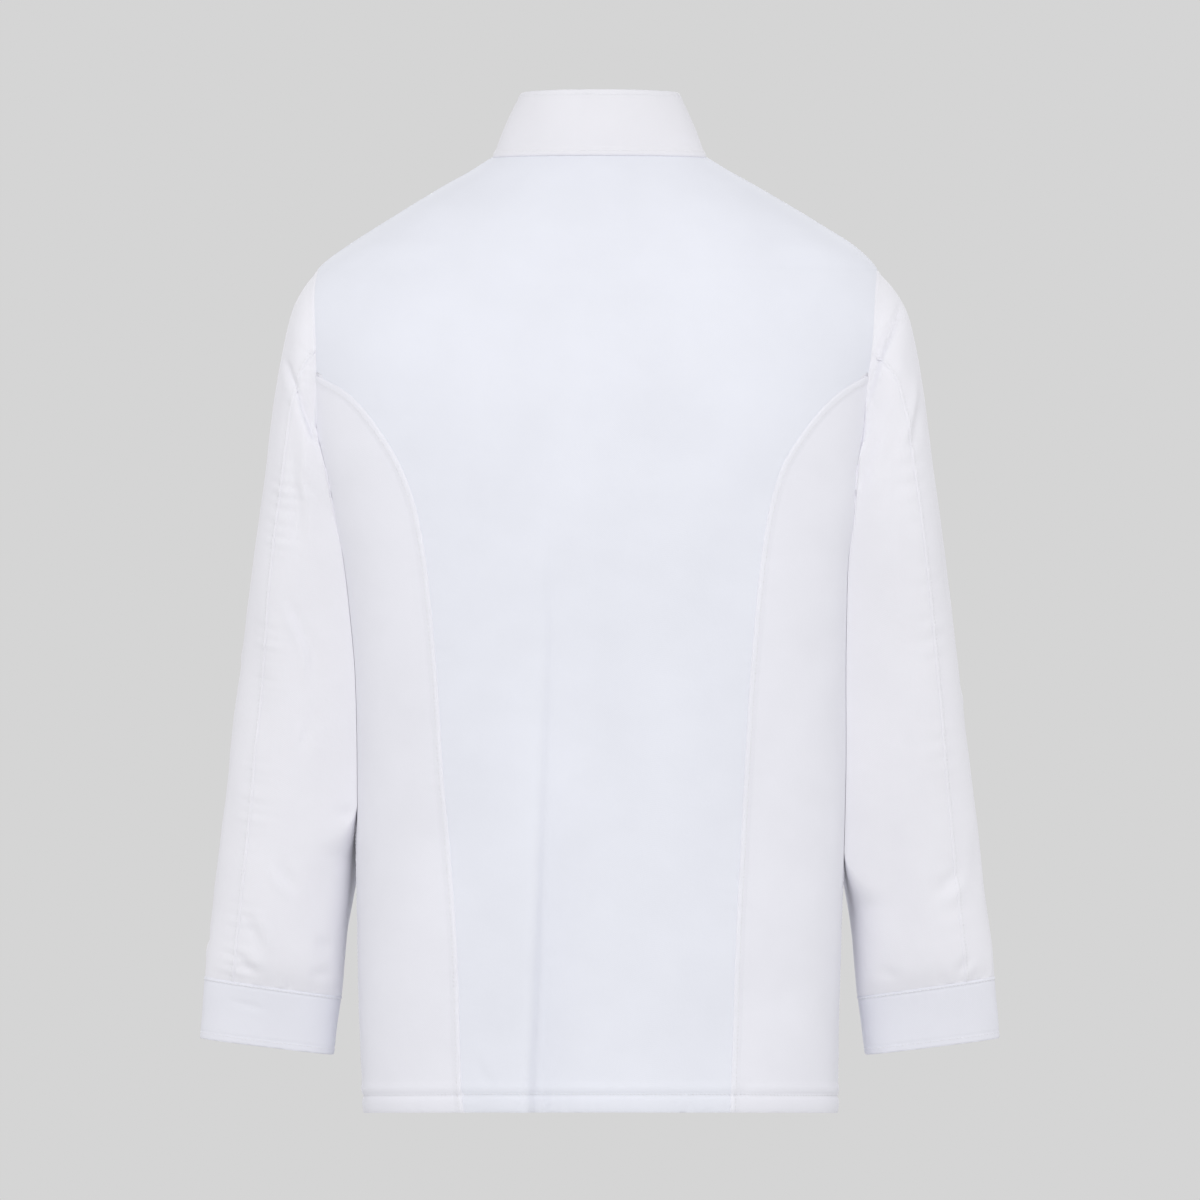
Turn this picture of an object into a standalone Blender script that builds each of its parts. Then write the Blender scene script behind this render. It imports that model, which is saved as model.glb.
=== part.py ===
"""A double-breasted chef jacket with long sleeves, hollow and filled out as if worn.

Every cloth piece is a thin wall of its own, and stands a seam's gap from its neighbours. The body
is a stack of level slices from neck to hem, and each sleeve is a run of rings from the armhole to
the cuff. Metres, +Z up. The front faces -Y, and +X is the wearer's left. The origin is the middle
of the neck seam.
"""

import math
from collections import namedtuple

import bpy
import numpy as np

WALL = 0.002
BAND_WALL = 0.0025  # the collar and the cuffs, which are cloth on both sides
SEAM_GAP = 0.00035
ARMHOLE_GAP = 0.0006
LEFT, RIGHT = 1, -1
SIDE_NAMES = {LEFT: "left", RIGHT: "right"}

NECK_Z = 0.0
SHOULDER_Z = -0.090
UNDERARM_Z = -0.262
HEM_Z = -0.764
HEM_LIFT = 0.006  # how far the back hem rises from the side seams to the centre
ARMHOLE_MIDDLE = (SHOULDER_Z + UNDERARM_Z) / 2
ARMHOLE_HALF = (SHOULDER_Z - UNDERARM_Z) / 2

# Level slices of the body: half widths on each side, depths to the back and to the front, and how
# square the oval is. Between the shoulder and the underarm the half width is the armhole's.
Slice = namedtuple("Slice", "z left right back front square")
SLICES = [
    Slice(0.000, 0.0850, 0.0850, 0.050, 0.040, 2.1),
    Slice(-0.010, 0.1010, 0.1010, 0.061, 0.047, 2.1),
    Slice(-0.020, 0.1185, 0.1185, 0.070, 0.052, 2.1),
    Slice(-0.040, 0.1520, 0.1520, 0.085, 0.058, 2.1),
    Slice(-0.060, 0.1850, 0.1850, 0.096, 0.065, 2.1),
    Slice(-0.075, 0.2085, 0.2085, 0.102, 0.074, 2.2),
    Slice(-0.090, 0.2260, 0.2235, 0.108, 0.084, 2.2),
    Slice(-0.105, 0.2265, 0.2190, 0.113, 0.094, 2.3),
    Slice(-0.150, 0.2263, 0.2175, 0.123, 0.115, 2.5),
    Slice(-0.180, 0.2262, 0.2142, 0.127, 0.125, 2.7),
    Slice(-0.205, 0.2262, 0.2122, 0.129, 0.130, 2.9),
    Slice(-0.235, 0.2260, 0.2115, 0.130, 0.134, 3.0),
    Slice(-0.262, 0.2240, 0.2125, 0.130, 0.136, 3.0),
    Slice(-0.290, 0.2172, 0.2096, 0.129, 0.137, 3.0),
    Slice(-0.320, 0.2100, 0.2040, 0.128, 0.137, 2.9),
    Slice(-0.360, 0.2035, 0.2012, 0.126, 0.136, 2.8),
    Slice(-0.420, 0.1972, 0.1992, 0.123, 0.135, 2.6),
    Slice(-0.480, 0.1948, 0.1982, 0.121, 0.133, 2.5),
    Slice(-0.560, 0.1935, 0.1955, 0.120, 0.132, 2.4),
    Slice(-0.640, 0.1922, 0.1925, 0.121, 0.132, 2.4),
    Slice(-0.700, 0.1905, 0.1905, 0.122, 0.133, 2.4),
    Slice(-0.764, 0.1885, 0.1895, 0.124, 0.134, 2.4),
]
ARMHOLE_BACK = 0.067
ARMHOLE_FRONT = 0.062
ARMHOLE_SQUARE = 3.0  # how square its lower half is
EVEN_OVER = 0.022  # the height, up and down, over which the half width is averaged
EVEN_SHARE = 0.2  # that height over the depth below the neck, where this is less
EVEN_SAMPLES = 11

# The back princess seams, from the armhole to the hem.
Seam = namedtuple("Seam", "z left right")
PRINCESS_SEAMS = [
    Seam(-0.176, 0.2232, 0.2112),
    Seam(-0.190, 0.1990, 0.1885),
    Seam(-0.222, 0.1720, 0.1600),
    Seam(-0.252, 0.1550, 0.1425),
    Seam(-0.286, 0.1435, 0.1330),
    Seam(-0.326, 0.1365, 0.1270),
    Seam(-0.382, 0.1310, 0.1215),
    Seam(-0.438, 0.1268, 0.1175),
    Seam(-0.495, 0.1235, 0.1145),
    Seam(-0.551, 0.1185, 0.1115),
    Seam(-0.636, 0.1125, 0.1075),
    Seam(-0.742, 0.1090, 0.1040),
    Seam(-0.764, 0.1070, 0.1030),
]

# The front neckline, from the neck point to the centre front.
NeckPoint = namedtuple("NeckPoint", "x z")
NECKLINE = [
    NeckPoint(0.0849, -0.0008),
    NeckPoint(0.0835, -0.0100),
    NeckPoint(0.0790, -0.0210),
    NeckPoint(0.0700, -0.0330),
    NeckPoint(0.0550, -0.0440),
    NeckPoint(0.0310, -0.0525),
    NeckPoint(0.0000, -0.0565),
]

OVERLAP = 0.075  # how far each front runs past the centre front
OVERLAP_LIFT = 0.0026  # how far the left front lies out from the right one
OVERLAP_RAMP = (0.080, 0.110)

# Rings of a sleeve: its outer edge, the height and clearance from the body of its inner edge,
# and the middle and half depth of the ring from front to back.
Ring = namedtuple("Ring", "outer_x outer_z inner_z gap middle_y half_depth square")
SLEEVE_RINGS = [
    Ring(0.2260, -0.0900, -0.2620, 0.0000, 0.0025, 0.0645, 2.0),
    Ring(0.2364, -0.1030, -0.2650, 0.0028, 0.0025, 0.0655, 2.1),
    Ring(0.2455, -0.1215, -0.2690, 0.0032, 0.0020, 0.0665, 2.2),
    Ring(0.2516, -0.1450, -0.2740, 0.0032, 0.0000, 0.0680, 2.3),
    Ring(0.2566, -0.1720, -0.2800, 0.0032, -0.0030, 0.0695, 2.4),
    Ring(0.2614, -0.2040, -0.2890, 0.0032, -0.0060, 0.0705, 2.4),
    Ring(0.2663, -0.2430, -0.3020, 0.0032, -0.0100, 0.0705, 2.4),
    Ring(0.2724, -0.2850, -0.3240, 0.0032, -0.0140, 0.0695, 2.4),
    Ring(0.2782, -0.3320, -0.3550, 0.0032, -0.0180, 0.0665, 2.4),
    Ring(0.2846, -0.3830, -0.4000, 0.0030, -0.0230, 0.0625, 2.4),
    Ring(0.2914, -0.4360, -0.4500, 0.0030, -0.0280, 0.0585, 2.3),
    Ring(0.2975, -0.4900, -0.5030, 0.0030, -0.0320, 0.0545, 2.3),
    Ring(0.3045, -0.5440, -0.5570, 0.0036, -0.0360, 0.0500, 2.3),
    Ring(0.3105, -0.5980, -0.6120, 0.0085, -0.0390, 0.0450, 2.3),
    Ring(0.3156, -0.6380, -0.6545, 0.0135, -0.0400, 0.0400, 2.3),
    Ring(0.3170, -0.6560, -0.6715, 0.0158, -0.0405, 0.0335, 2.2),
]
CUFF_RINGS = [
    Ring(0.3174, -0.6564, -0.6719, 0.0160, -0.0405, 0.0335, 2.2),
    Ring(0.3188, -0.6810, -0.6950, 0.0200, -0.0405, 0.0315, 2.2),
    Ring(0.3208, -0.7055, -0.7185, 0.0232, -0.0405, 0.0300, 2.2),
]
CORNER_SQUARE = 6.0  # how square a sleeve is where it is folded against the body
FRONT_CORNER_SQUARE = 4.0
HUG = 1.0  # how far that fold closes the gap to the body's side
HUG_STARTS = (0.2, 2.4)  # the rings over which the sleeve comes to lie against the body
HUG_ENDS = {LEFT: (11.2, 12.4), RIGHT: (12.0, 13.1)}  # and those over which it leaves it
ARMHOLE_SHAPE_ENDS = 2.6  # the ring by which a sleeve has lost the armhole's own shape
SEAMS_SETTLE = 10  # the ring by which the sleeve's seams have turned to their final places
HIND_SEAM_ANGLE = math.radians(57)
FORE_SEAM_ANGLE = math.radians(238)

# Folds hang nearly plumb. Each has a crest on one side of its line and a hollow on the other.
FoldPoint = namedtuple("FoldPoint", "z x crest hollow")
Fold = namedtuple("Fold", "part face crest_side soft crest_width hollow_width points")
BACK, FRONT = 1, -1
FACING_SHARE = 0.5  # how squarely cloth faces front or back before its folds have their full depth
CENTRE_FOLD = Fold(
    "body", BACK, LEFT, 0.006, 0.036, 0.050,
    [
        FoldPoint(-0.280, 0.0410, 0.0000, 0.0000),
        FoldPoint(-0.380, 0.0404, 0.0020, 0.0022),
        FoldPoint(-0.495, 0.0444, 0.0040, 0.0045),
        FoldPoint(-0.610, 0.0476, 0.0062, 0.0062),
        FoldPoint(-0.764, 0.0530, 0.0085, 0.0075),
    ],
)
FOLDS = [
    CENTRE_FOLD,
    Fold(
        "body", FRONT, RIGHT, 0.008, 0.035, 0.040,
        [
            FoldPoint(-0.480, -0.1180, 0.0000, 0.0000),
            FoldPoint(-0.600, -0.1160, 0.0035, 0.0030),
            FoldPoint(-0.764, -0.1120, 0.0070, 0.0055),
        ],
    ),
    Fold(
        "body", FRONT, LEFT, 0.008, 0.032, 0.040,
        [
            FoldPoint(-0.440, 0.1230, 0.0000, 0.0000),
            FoldPoint(-0.580, 0.1220, 0.0030, 0.0030),
            FoldPoint(-0.764, 0.1200, 0.0060, 0.0050),
        ],
    ),
    Fold(
        "sleeve_left", BACK, LEFT, 0.007, 0.016, 0.026,
        [
            FoldPoint(-0.140, 0.2580, 0.0000, 0.0000),
            FoldPoint(-0.160, 0.2540, 0.0030, 0.0030),
            FoldPoint(-0.184, 0.2410, 0.0035, 0.0022),
            FoldPoint(-0.222, 0.2276, 0.0030, 0.0010),
            FoldPoint(-0.264, 0.2170, 0.0020, 0.0000),
            FoldPoint(-0.330, 0.2070, 0.0000, 0.0000),
        ],
    ),
    Fold(
        "sleeve_right", BACK, RIGHT, 0.007, 0.016, 0.026,
        [
            FoldPoint(-0.098, -0.2500, 0.0000, 0.0000),
            FoldPoint(-0.118, -0.2436, 0.0030, 0.0035),
            FoldPoint(-0.150, -0.2300, 0.0040, 0.0035),
            FoldPoint(-0.184, -0.2156, 0.0030, 0.0015),
            FoldPoint(-0.242, -0.2060, 0.0010, 0.0000),
            FoldPoint(-0.320, -0.2010, 0.0000, 0.0000),
        ],
    ),
    Fold(
        "sleeve_left", FRONT, LEFT, 0.006, 0.016, 0.026,
        [
            FoldPoint(-0.135, 0.2560, 0.0000, 0.0000),
            FoldPoint(-0.170, 0.2440, 0.0035, 0.0045),
            FoldPoint(-0.215, 0.2300, 0.0035, 0.0050),
            FoldPoint(-0.300, 0.2150, 0.0000, 0.0000),
        ],
    ),
    Fold(
        "sleeve_right", FRONT, RIGHT, 0.006, 0.016, 0.026,
        [
            FoldPoint(-0.125, -0.2540, 0.0000, 0.0000),
            FoldPoint(-0.160, -0.2400, 0.0035, 0.0045),
            FoldPoint(-0.205, -0.2250, 0.0035, 0.0050),
            FoldPoint(-0.290, -0.2090, 0.0000, 0.0000),
        ],
    ),
]

COLLAR_RISES = ((-0.063, 0.046), (0.0, 0.0515), (0.050, 0.053))  # (base y, height above it)
COLLAR_NARROWS = 0.741  # the collar's top half width over its base half width
COLLAR_CLOSES = 0.93  # its top depth over its base depth
COLLAR_SEAM_GAP = 0.0004
COLLAR_END_GAP = 0.003  # from the centre front to each end

BUTTON_RADIUS = 0.0095
BUTTON_THICKNESS = 0.003
BUTTON_EDGE = 0.001
BUTTON_SIDES = 14
BUTTON_COLUMN_X = 0.060
BUTTON_ROWS = 5
BUTTON_TOP_Z = -0.095
BUTTON_SPACING = 0.080

SHOULDER_ROWS = 6
ARMHOLE_STEPS = 14  # rows from the shoulder point to the underarm
BODY_STEPS = 12  # rows from the underarm to the hem
ARMHOLE_COLUMNS = 2 * ARMHOLE_STEPS
LAP_COLUMNS = 3
FRONT_COLUMNS = 6
PRINCESS_STEP = ARMHOLE_STEPS // 2  # the armhole row where the princess seam starts
HIND_SEAM_COLUMN = 6
FORE_SEAM_COLUMN = 18
SLEEVE_STATIONS = [0, 0.5, 1, 1.5, 2, 2.5, 3, 3.5, 4, 4.5, 5, 6, 7, 8, 9, 10, 11, 12, 13, 14, 14.5, 15]
CUFF_STATIONS = [0, 1, 2]
COLLAR_STEPS = 3
TINY = 1e-5


def smooth(at, xs, ys):
    """The curve through the points (xs, ys), which never swings past them, read at `at`."""
    order = np.argsort(xs)
    xs, ys = np.asarray(xs, float)[order], np.asarray(ys, float)[order]
    step = np.diff(xs)
    slope = np.diff(ys) / step
    same_way = slope[:-1] * slope[1:] > 0
    total = np.where(same_way, slope[:-1] + slope[1:], 1)
    inner = np.where(same_way, 2 * slope[:-1] * slope[1:] / total, 0)
    tangent = np.concatenate([slope[:1], inner, slope[-1:]])
    at = np.clip(at, xs[0], xs[-1])
    k = np.clip(np.searchsorted(xs, at) - 1, 0, len(step) - 1)
    t = (at - xs[k]) / step[k]
    from_start = (1 + 2 * t) * (1 - t) ** 2 * ys[k] + t * (1 - t) ** 2 * step[k] * tangent[k]
    from_end = t * t * (3 - 2 * t) * ys[k + 1] - t * t * (1 - t) * step[k] * tangent[k + 1]
    return from_start + from_end


def column(table, name):
    return np.array([getattr(row, name) for row in table])


def ease(t):
    """0 below 0, 1 above 1, and an even S between."""
    t = np.clip(t, 0, 1)
    return t * t * (3 - 2 * t)


def unit(vectors):
    return vectors / np.linalg.norm(vectors, axis=-1, keepdims=True)


def relief(part, face, x, z):
    """How far the folds of this part stand out from its plain surface at (x, z), on that face."""
    height = np.zeros(np.broadcast(x, z).shape)
    for fold in FOLDS:
        if (fold.part, fold.face) != (part, face):
            continue
        heights = column(fold.points, "z")
        across = (x - smooth(z, heights, column(fold.points, "x"))) * fold.crest_side
        crest = smooth(z, heights, column(fold.points, "crest"))
        hollow = smooth(z, heights, column(fold.points, "hollow"))
        leaves_line = 1 - np.exp(-np.abs(across) / fold.soft)
        on_crest = crest * np.exp(-((across / fold.crest_width) ** 2))
        in_hollow = -hollow * np.exp(-((across / fold.hollow_width) ** 2))
        height += leaves_line * np.where(across > 0, on_crest, in_hollow)
    return height


# The body


def side_width(z, side):
    """The half width at the shoulder seam, then at the armhole's edge, then at the side seam."""
    heights, widths = column(SLICES, "z"), column(SLICES, SIDE_NAMES[side])
    on_shoulder, below = heights >= SHOULDER_Z, heights <= SHOULDER_Z
    along_shoulder = smooth(z, heights[on_shoulder], widths[on_shoulder])
    return np.where(z > SHOULDER_Z, along_shoulder, smooth(z, heights[below], widths[below]))


def armhole_reach(z, is_front):
    """How far the armhole reaches from the middle to the front or the back at this height."""
    up = (z - ARMHOLE_MIDDLE) / ARMHOLE_HALF
    square = np.where(up < 0, ARMHOLE_SQUARE, 2.0)
    oval = np.clip(1 - np.abs(up) ** square, 0, 1) ** (1 / square)
    return oval * np.where(is_front, ARMHOLE_FRONT, ARMHOLE_BACK)


def read_slices(z, name):
    return smooth(z, column(SLICES, "z"), column(SLICES, name))


def oval_width(z, side):
    """The half width of the oval that runs through the armhole's edges at this height."""
    square = read_slices(z, "square")
    back_share = armhole_reach(z, False) / read_slices(z, "back")
    front_share = armhole_reach(z, True) / read_slices(z, "front")
    share = (back_share + front_share) / 2
    return side_width(z, side) / (1 - share**square) ** (1 / square)


def even_width(z, side):
    """The oval's half width, averaged over the heights near this one, so that no level shows."""
    offsets = np.linspace(-1, 1, EVEN_SAMPLES)
    weights = (1 - offsets**2) ** 2
    over = np.minimum(EVEN_OVER, EVEN_SHARE * (NECK_Z - z))
    widths = [weight * oval_width(z + over * offset, side) for offset, weight in zip(offsets, weights)]
    return sum(widths) / sum(weights)


def slice_shape(z, is_left, is_front):
    """(half width, half depth, squareness) of the slice that holds the surface at this height."""
    depth = np.where(is_front, read_slices(z, "front"), read_slices(z, "back"))
    width = np.where(is_left, even_width(z, LEFT), even_width(z, RIGHT))
    return width, depth, read_slices(z, "square")


def body_point(angle, z, folded=True):
    """The body's surface: angle 0 is the centre back, and it grows towards the wearer's left."""
    angle, z = np.broadcast_arrays(angle, z)
    across, along = np.sin(angle), np.cos(angle)
    is_left, is_front = across >= 0, along < 0
    width, depth, square = slice_shape(z, is_left, is_front)
    radius = ((np.abs(across) / width) ** square + (np.abs(along) / depth) ** square) ** (-1 / square)
    x, y = radius * across, radius * along
    if folded:
        y = y + ease(along / FACING_SHARE) * relief("body", BACK, x, z)
        y = y - ease(-along / FACING_SHARE) * relief("body", FRONT, x, z)
    lift = HEM_LIFT * ease((z - UNDERARM_Z) / (HEM_Z - UNDERARM_Z)) * np.clip(y / depth, 0, 1)
    return np.stack([x, y, z + lift], axis=-1)


def body_normal(angle, z):
    """The outward normal of the body without its folds, so that seams stay even across them."""
    round_it = body_point(angle + TINY, z, False) - body_point(angle - TINY, z, False)
    up = body_point(angle, z, False) - body_point(angle, z - TINY, False)
    return unit(np.cross(up, round_it))


def angle_at(x, z, is_front):
    """The angle at which the slice at height z crosses x."""
    width, depth, square = slice_shape(z, x >= 0, is_front)
    y = depth * np.clip(1 - (np.abs(x) / width) ** square, 0, 1) ** (1 / square)
    return np.arctan2(x, np.where(is_front, -y, y))


def body_rows():
    """The heights of the body's rows, from neck to hem, closest together round the armhole."""
    shoulder = np.linspace(NECK_Z, SHOULDER_Z, SHOULDER_ROWS + 1)
    below = np.linspace(UNDERARM_Z, HEM_Z, BODY_STEPS + 1)
    return np.concatenate([shoulder[:-1], armhole_heights(), below[1:]])


def armhole_heights():
    return ARMHOLE_MIDDLE + ARMHOLE_HALF * np.cos(np.linspace(0, math.pi, ARMHOLE_STEPS + 1))


def outer_edge(rows, side, is_front):
    """The angle where a panel ends at each row: the shoulder seam, the armhole or the side seam."""
    edge = side_width(rows, side)
    reach = armhole_reach(rows, is_front)
    return np.arctan2(side * edge, np.where(is_front, -reach, reach))


def princess_edge(rows, side):
    x = side * smooth(rows, column(PRINCESS_SEAMS, "z"), column(PRINCESS_SEAMS, SIDE_NAMES[side]))
    return angle_at(x, rows, False)


# Thin walls


def pulled_in(points, normals, at_end, rows):
    """Moves a panel's first or last column half a seam gap into the panel, on the given rows."""
    edge, next_in = (-1, -2) if at_end else (0, 1)
    along = np.gradient(points[:, edge], axis=0)
    inward = unit(np.cross(normals[:, edge], along))
    facing = np.sign(np.sum(inward * (points[:, next_in] - points[:, edge]), axis=-1))
    shift = inward * facing[:, None] * SEAM_GAP / 2
    points[rows, edge] += shift[rows]
    return points


def wall(name, outer, inner, present, material):
    """A closed wall between two grids of points, built where `present` says that a cell exists."""
    count_rows, count_columns = outer.shape[:2]
    number = np.arange(count_rows * count_columns).reshape(count_rows, count_columns)
    corners = [number[:-1, :-1], number[:-1, 1:], number[1:, 1:], number[1:, :-1]]
    cells = np.stack(corners, axis=-1)[present]
    layer = count_rows * count_columns
    faces = [list(cell) for cell in cells] + [list(cell[::-1] + layer) for cell in cells]
    edges = {(a, b) for cell in cells for a, b in zip(cell, np.roll(cell, -1))}
    for a, b in sorted(edges):
        if (b, a) not in edges:
            faces += rim(a, b, layer)
    points = np.concatenate([outer.reshape(-1, 3), inner.reshape(-1, 3)])
    return solid(name, points, faces, material)


def rim(a, b, layer):
    """The wall's edge from b to a, cut so that neighbouring panels' edges have the same shape."""
    if a < b:
        return [[b, a, b + layer], [a, a + layer, b + layer]]
    return [[b, a, a + layer], [b, a + layer, b + layer]]


def solid(name, points, faces, material):
    """One closed mesh object, with the points that no face uses left out and its faces turned out."""
    used = np.unique(np.concatenate([np.asarray(face) for face in faces]))
    place = {int(old): new for new, old in enumerate(used)}
    faces = [[place[int(corner)] for corner in face] for face in faces]
    points = points[used]
    if signed_volume(points, faces) < 0:
        faces = [face[::-1] for face in faces]
    mesh = bpy.data.meshes.new(name)
    mesh.from_pydata(points.tolist(), [], faces)
    mesh.materials.append(material)
    made = bpy.data.objects.new(name, mesh)
    bpy.context.scene.collection.objects.link(made)
    return made


def signed_volume(points, faces):
    total = 0.0
    for face in faces:
        first = points[face[0]]
        for second, third in zip(face[1:-1], face[2:]):
            total += np.dot(first, np.cross(points[second], points[third]))
    return total / 6


def cloth_panel(name, angles, heights, present, seams, material, lifted=None):
    """A body panel from a grid of angles and heights; seams is [(at_end, rows)], its sewn edges."""
    points, normals = body_point(angles, heights), body_normal(angles, heights)
    if lifted is not None:
        points = points + normals * lifted(points, angles)[..., None]
    for at_end, rows in seams:
        points = pulled_in(points, normals, at_end, rows)
    wall(name, points, points - normals * WALL, present, material)


# The panels of the body


def centre_back(material):
    rows = body_rows()
    last_armhole = SHOULDER_ROWS + PRINCESS_STEP
    ends = {}
    for side in (LEFT, RIGHT):
        above, below = outer_edge(rows, side, False), princess_edge(rows, side)
        ends[side] = np.where(np.arange(len(rows)) < last_armhole, above, below)
    line = smooth(rows, column(CENTRE_FOLD.points, "z"), column(CENTRE_FOLD.points, "x"))
    anchors = [
        ends[RIGHT],
        angle_at(line - 0.012, rows, False),
        angle_at(line + 0.016, rows, False),
        ends[LEFT],
    ]
    angles = between(anchors, [9, 3, 6])
    heights = np.repeat(rows[:, None], angles.shape[1], axis=1)
    sewn = np.arange(len(rows)) <= SHOULDER_ROWS
    sewn |= np.arange(len(rows)) >= last_armhole
    present = np.ones((len(rows) - 1, angles.shape[1] - 1), bool)
    seams = [(False, sewn), (True, sewn)]
    cloth_panel("back_centre", angles, heights, present, seams, material)
    return angles[0]


def between(anchors, steps):
    """Columns that pass through each anchor, with that many steps from one to the next."""
    parts = [anchors[0][:, None]]
    for first, second, count in zip(anchors[:-1], anchors[1:], steps):
        share = np.arange(1, count + 1) / count
        parts.append(first[:, None] + (second - first)[:, None] * share)
    return np.concatenate(parts, axis=1)


def side_back(side, material):
    rows = body_rows()[SHOULDER_ROWS + PRINCESS_STEP :]
    inner, outer = princess_edge(rows, side), outer_edge(rows, side, False)
    angles = between([inner, outer], [5])
    heights = np.repeat(rows[:, None], angles.shape[1], axis=1)
    on_side_seam = rows <= UNDERARM_Z + TINY
    everywhere = np.ones(len(rows), bool)
    present = np.ones((len(rows) - 1, angles.shape[1] - 1), bool)
    seams = [(False, everywhere), (True, on_side_seam)]
    name = f"side_back_{SIDE_NAMES[side]}"
    cloth_panel(name, angles, heights, present, seams, material)


def overlap_lift(points, angles):
    """How far the left front lies out, so that it passes over the right one."""
    start, end = OVERLAP_RAMP
    by_width = 1 - ease((points[..., 0] - start) / (end - start))
    by_angle = ease((angles - math.radians(100)) / math.radians(25))
    return OVERLAP_LIFT * by_width * by_angle


def front_grid(side):
    """(angles, heights) of a front: rows fan from the shoulder seam to the neckline, then level out."""
    rows = body_rows()
    turn, level = SHOULDER_ROWS, SHOULDER_ROWS + ARMHOLE_STEPS
    neck_x, neck_z = column(NECKLINE, "x"), column(NECKLINE, "z")
    share = (rows[turn : level + 1] - rows[turn]) / (rows[level] - rows[turn])
    centre_heights = neck_z[-1] + (rows[level] - neck_z[-1]) * share
    inner_heights = np.concatenate([neck_z, centre_heights[1:], rows[level + 1 :]])
    outer_angles = np.abs(outer_edge(rows, side, True))
    neck_angles = np.abs(angle_at(side * neck_x, neck_z, True))
    inner_angles = np.concatenate([neck_angles, np.full(len(rows) - len(neck_x), math.pi)])
    near_edge = np.abs(angle_at(np.full(len(rows), side * OVERLAP), inner_heights, True))
    far_edge = np.abs(angle_at(np.full(len(rows), -side * OVERLAP), inner_heights, True))
    share = (near_edge - inner_angles)[turn] / (outer_angles - inner_angles)[turn]
    on_neckline = np.arange(len(rows)) < turn
    fanned_angles = inner_angles + (outer_angles - inner_angles) * share
    fanned_heights = inner_heights + (rows - inner_heights) * share
    near_edge = np.where(on_neckline, fanned_angles, near_edge)
    near_heights = np.where(on_neckline, fanned_heights, inner_heights)
    main = between([inner_angles, near_edge, outer_angles], [LAP_COLUMNS, FRONT_COLUMNS])
    heights = between([inner_heights, near_heights, rows], [LAP_COLUMNS, FRONT_COLUMNS])
    lap = between([2 * math.pi - far_edge, inner_angles], [LAP_COLUMNS])
    lap_heights = np.repeat(inner_heights[:, None], LAP_COLUMNS, axis=1)
    angles = np.concatenate([lap[:, :-1], main], axis=1)
    return side * angles, np.concatenate([lap_heights, heights], axis=1)


def front(side, material):
    angles, heights = front_grid(side)
    rows = np.arange(len(angles))
    present = np.ones((angles.shape[0] - 1, angles.shape[1] - 1), bool)
    first_lap_row = SHOULDER_ROWS if side == LEFT else SHOULDER_ROWS + 1
    present[:first_lap_row, :LAP_COLUMNS] = False
    sewn = (rows <= SHOULDER_ROWS) | (rows >= SHOULDER_ROWS + ARMHOLE_STEPS)
    lifted = overlap_lift if side == LEFT else None
    name = f"front_{SIDE_NAMES[side]}"
    cloth_panel(name, angles, heights, present, [(True, sewn)], material, lifted)


def neck_edge(side):
    """The front's own neckline, from the centre front to the neck point."""
    angles, heights = front_grid(side)
    angles, heights = (grid[SHOULDER_ROWS::-1, LAP_COLUMNS] for grid in (angles, heights))
    points, normals = body_point(angles, heights), body_normal(angles, heights)
    if side == LEFT:
        points = points + normals * overlap_lift(points, angles)[..., None]
    return points


def collar(back_angles, material):
    """A band that stands on the neckline, with its two ends at the centre front."""
    back = body_point(back_angles, NECK_Z)
    base = np.concatenate([neck_edge(RIGHT), back, neck_edge(LEFT)[::-1]])
    base[:, 2] += COLLAR_SEAM_GAP
    base[0] += unit(base[1] - base[0]) * COLLAR_END_GAP
    base[-1] += unit(base[-2] - base[-1]) * COLLAR_END_GAP
    rises = smooth(base[:, 1], [y for y, _ in COLLAR_RISES], [rise for _, rise in COLLAR_RISES])
    top = base * (COLLAR_NARROWS, COLLAR_CLOSES, 1)
    top[:, 2] += rises
    share = np.linspace(0, 1, COLLAR_STEPS + 1)[:, None, None]
    outer = base + (top - base) * share
    normals = unit(np.cross(np.gradient(outer, axis=0), np.gradient(outer, axis=1)))
    outward = np.sign(np.sum(normals[..., :2] * outer[..., :2], axis=-1, keepdims=True))
    inner = outer - normals * outward * BAND_WALL
    present = np.ones((outer.shape[0] - 1, outer.shape[1] - 1), bool)
    wall("collar", outer, inner, present, material)


# The sleeves


def outline_x(y, z, side):
    """The body's half width at this depth and height."""
    square = read_slices(z, "square")
    depth = np.where(y < 0, read_slices(z, "front"), read_slices(z, "back"))
    share = np.clip(np.abs(y) / depth, 0, 1)
    return even_width(z, side) * (1 - share**square) ** (1 / square)


def armhole_point(side, turn):
    """The armhole's edge: turn 0 is the shoulder point, 0.25 the back and 0.5 the underarm."""
    z = ARMHOLE_MIDDLE + ARMHOLE_HALF * np.cos(2 * math.pi * turn)
    is_front = np.sin(2 * math.pi * turn) < 0
    return body_point(outer_edge(z, side, is_front), z, False)


def ring_angle(turn, station):
    """Where a column lies round the ring. The seams turn towards the back and the front as it goes."""
    turns = [0, HIND_SEAM_COLUMN / ARMHOLE_COLUMNS, 0.5, FORE_SEAM_COLUMN / ARMHOLE_COLUMNS, 1]
    angles = [0, HIND_SEAM_ANGLE, math.pi, FORE_SEAM_ANGLE, 2 * math.pi]
    whole = np.floor(turn)
    settled = np.interp(turn - whole, turns, angles) + 2 * math.pi * whole
    share = ease(station / SEAMS_SETTLE)
    return (1 - share) * 2 * math.pi * turn + share * settled


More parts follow.
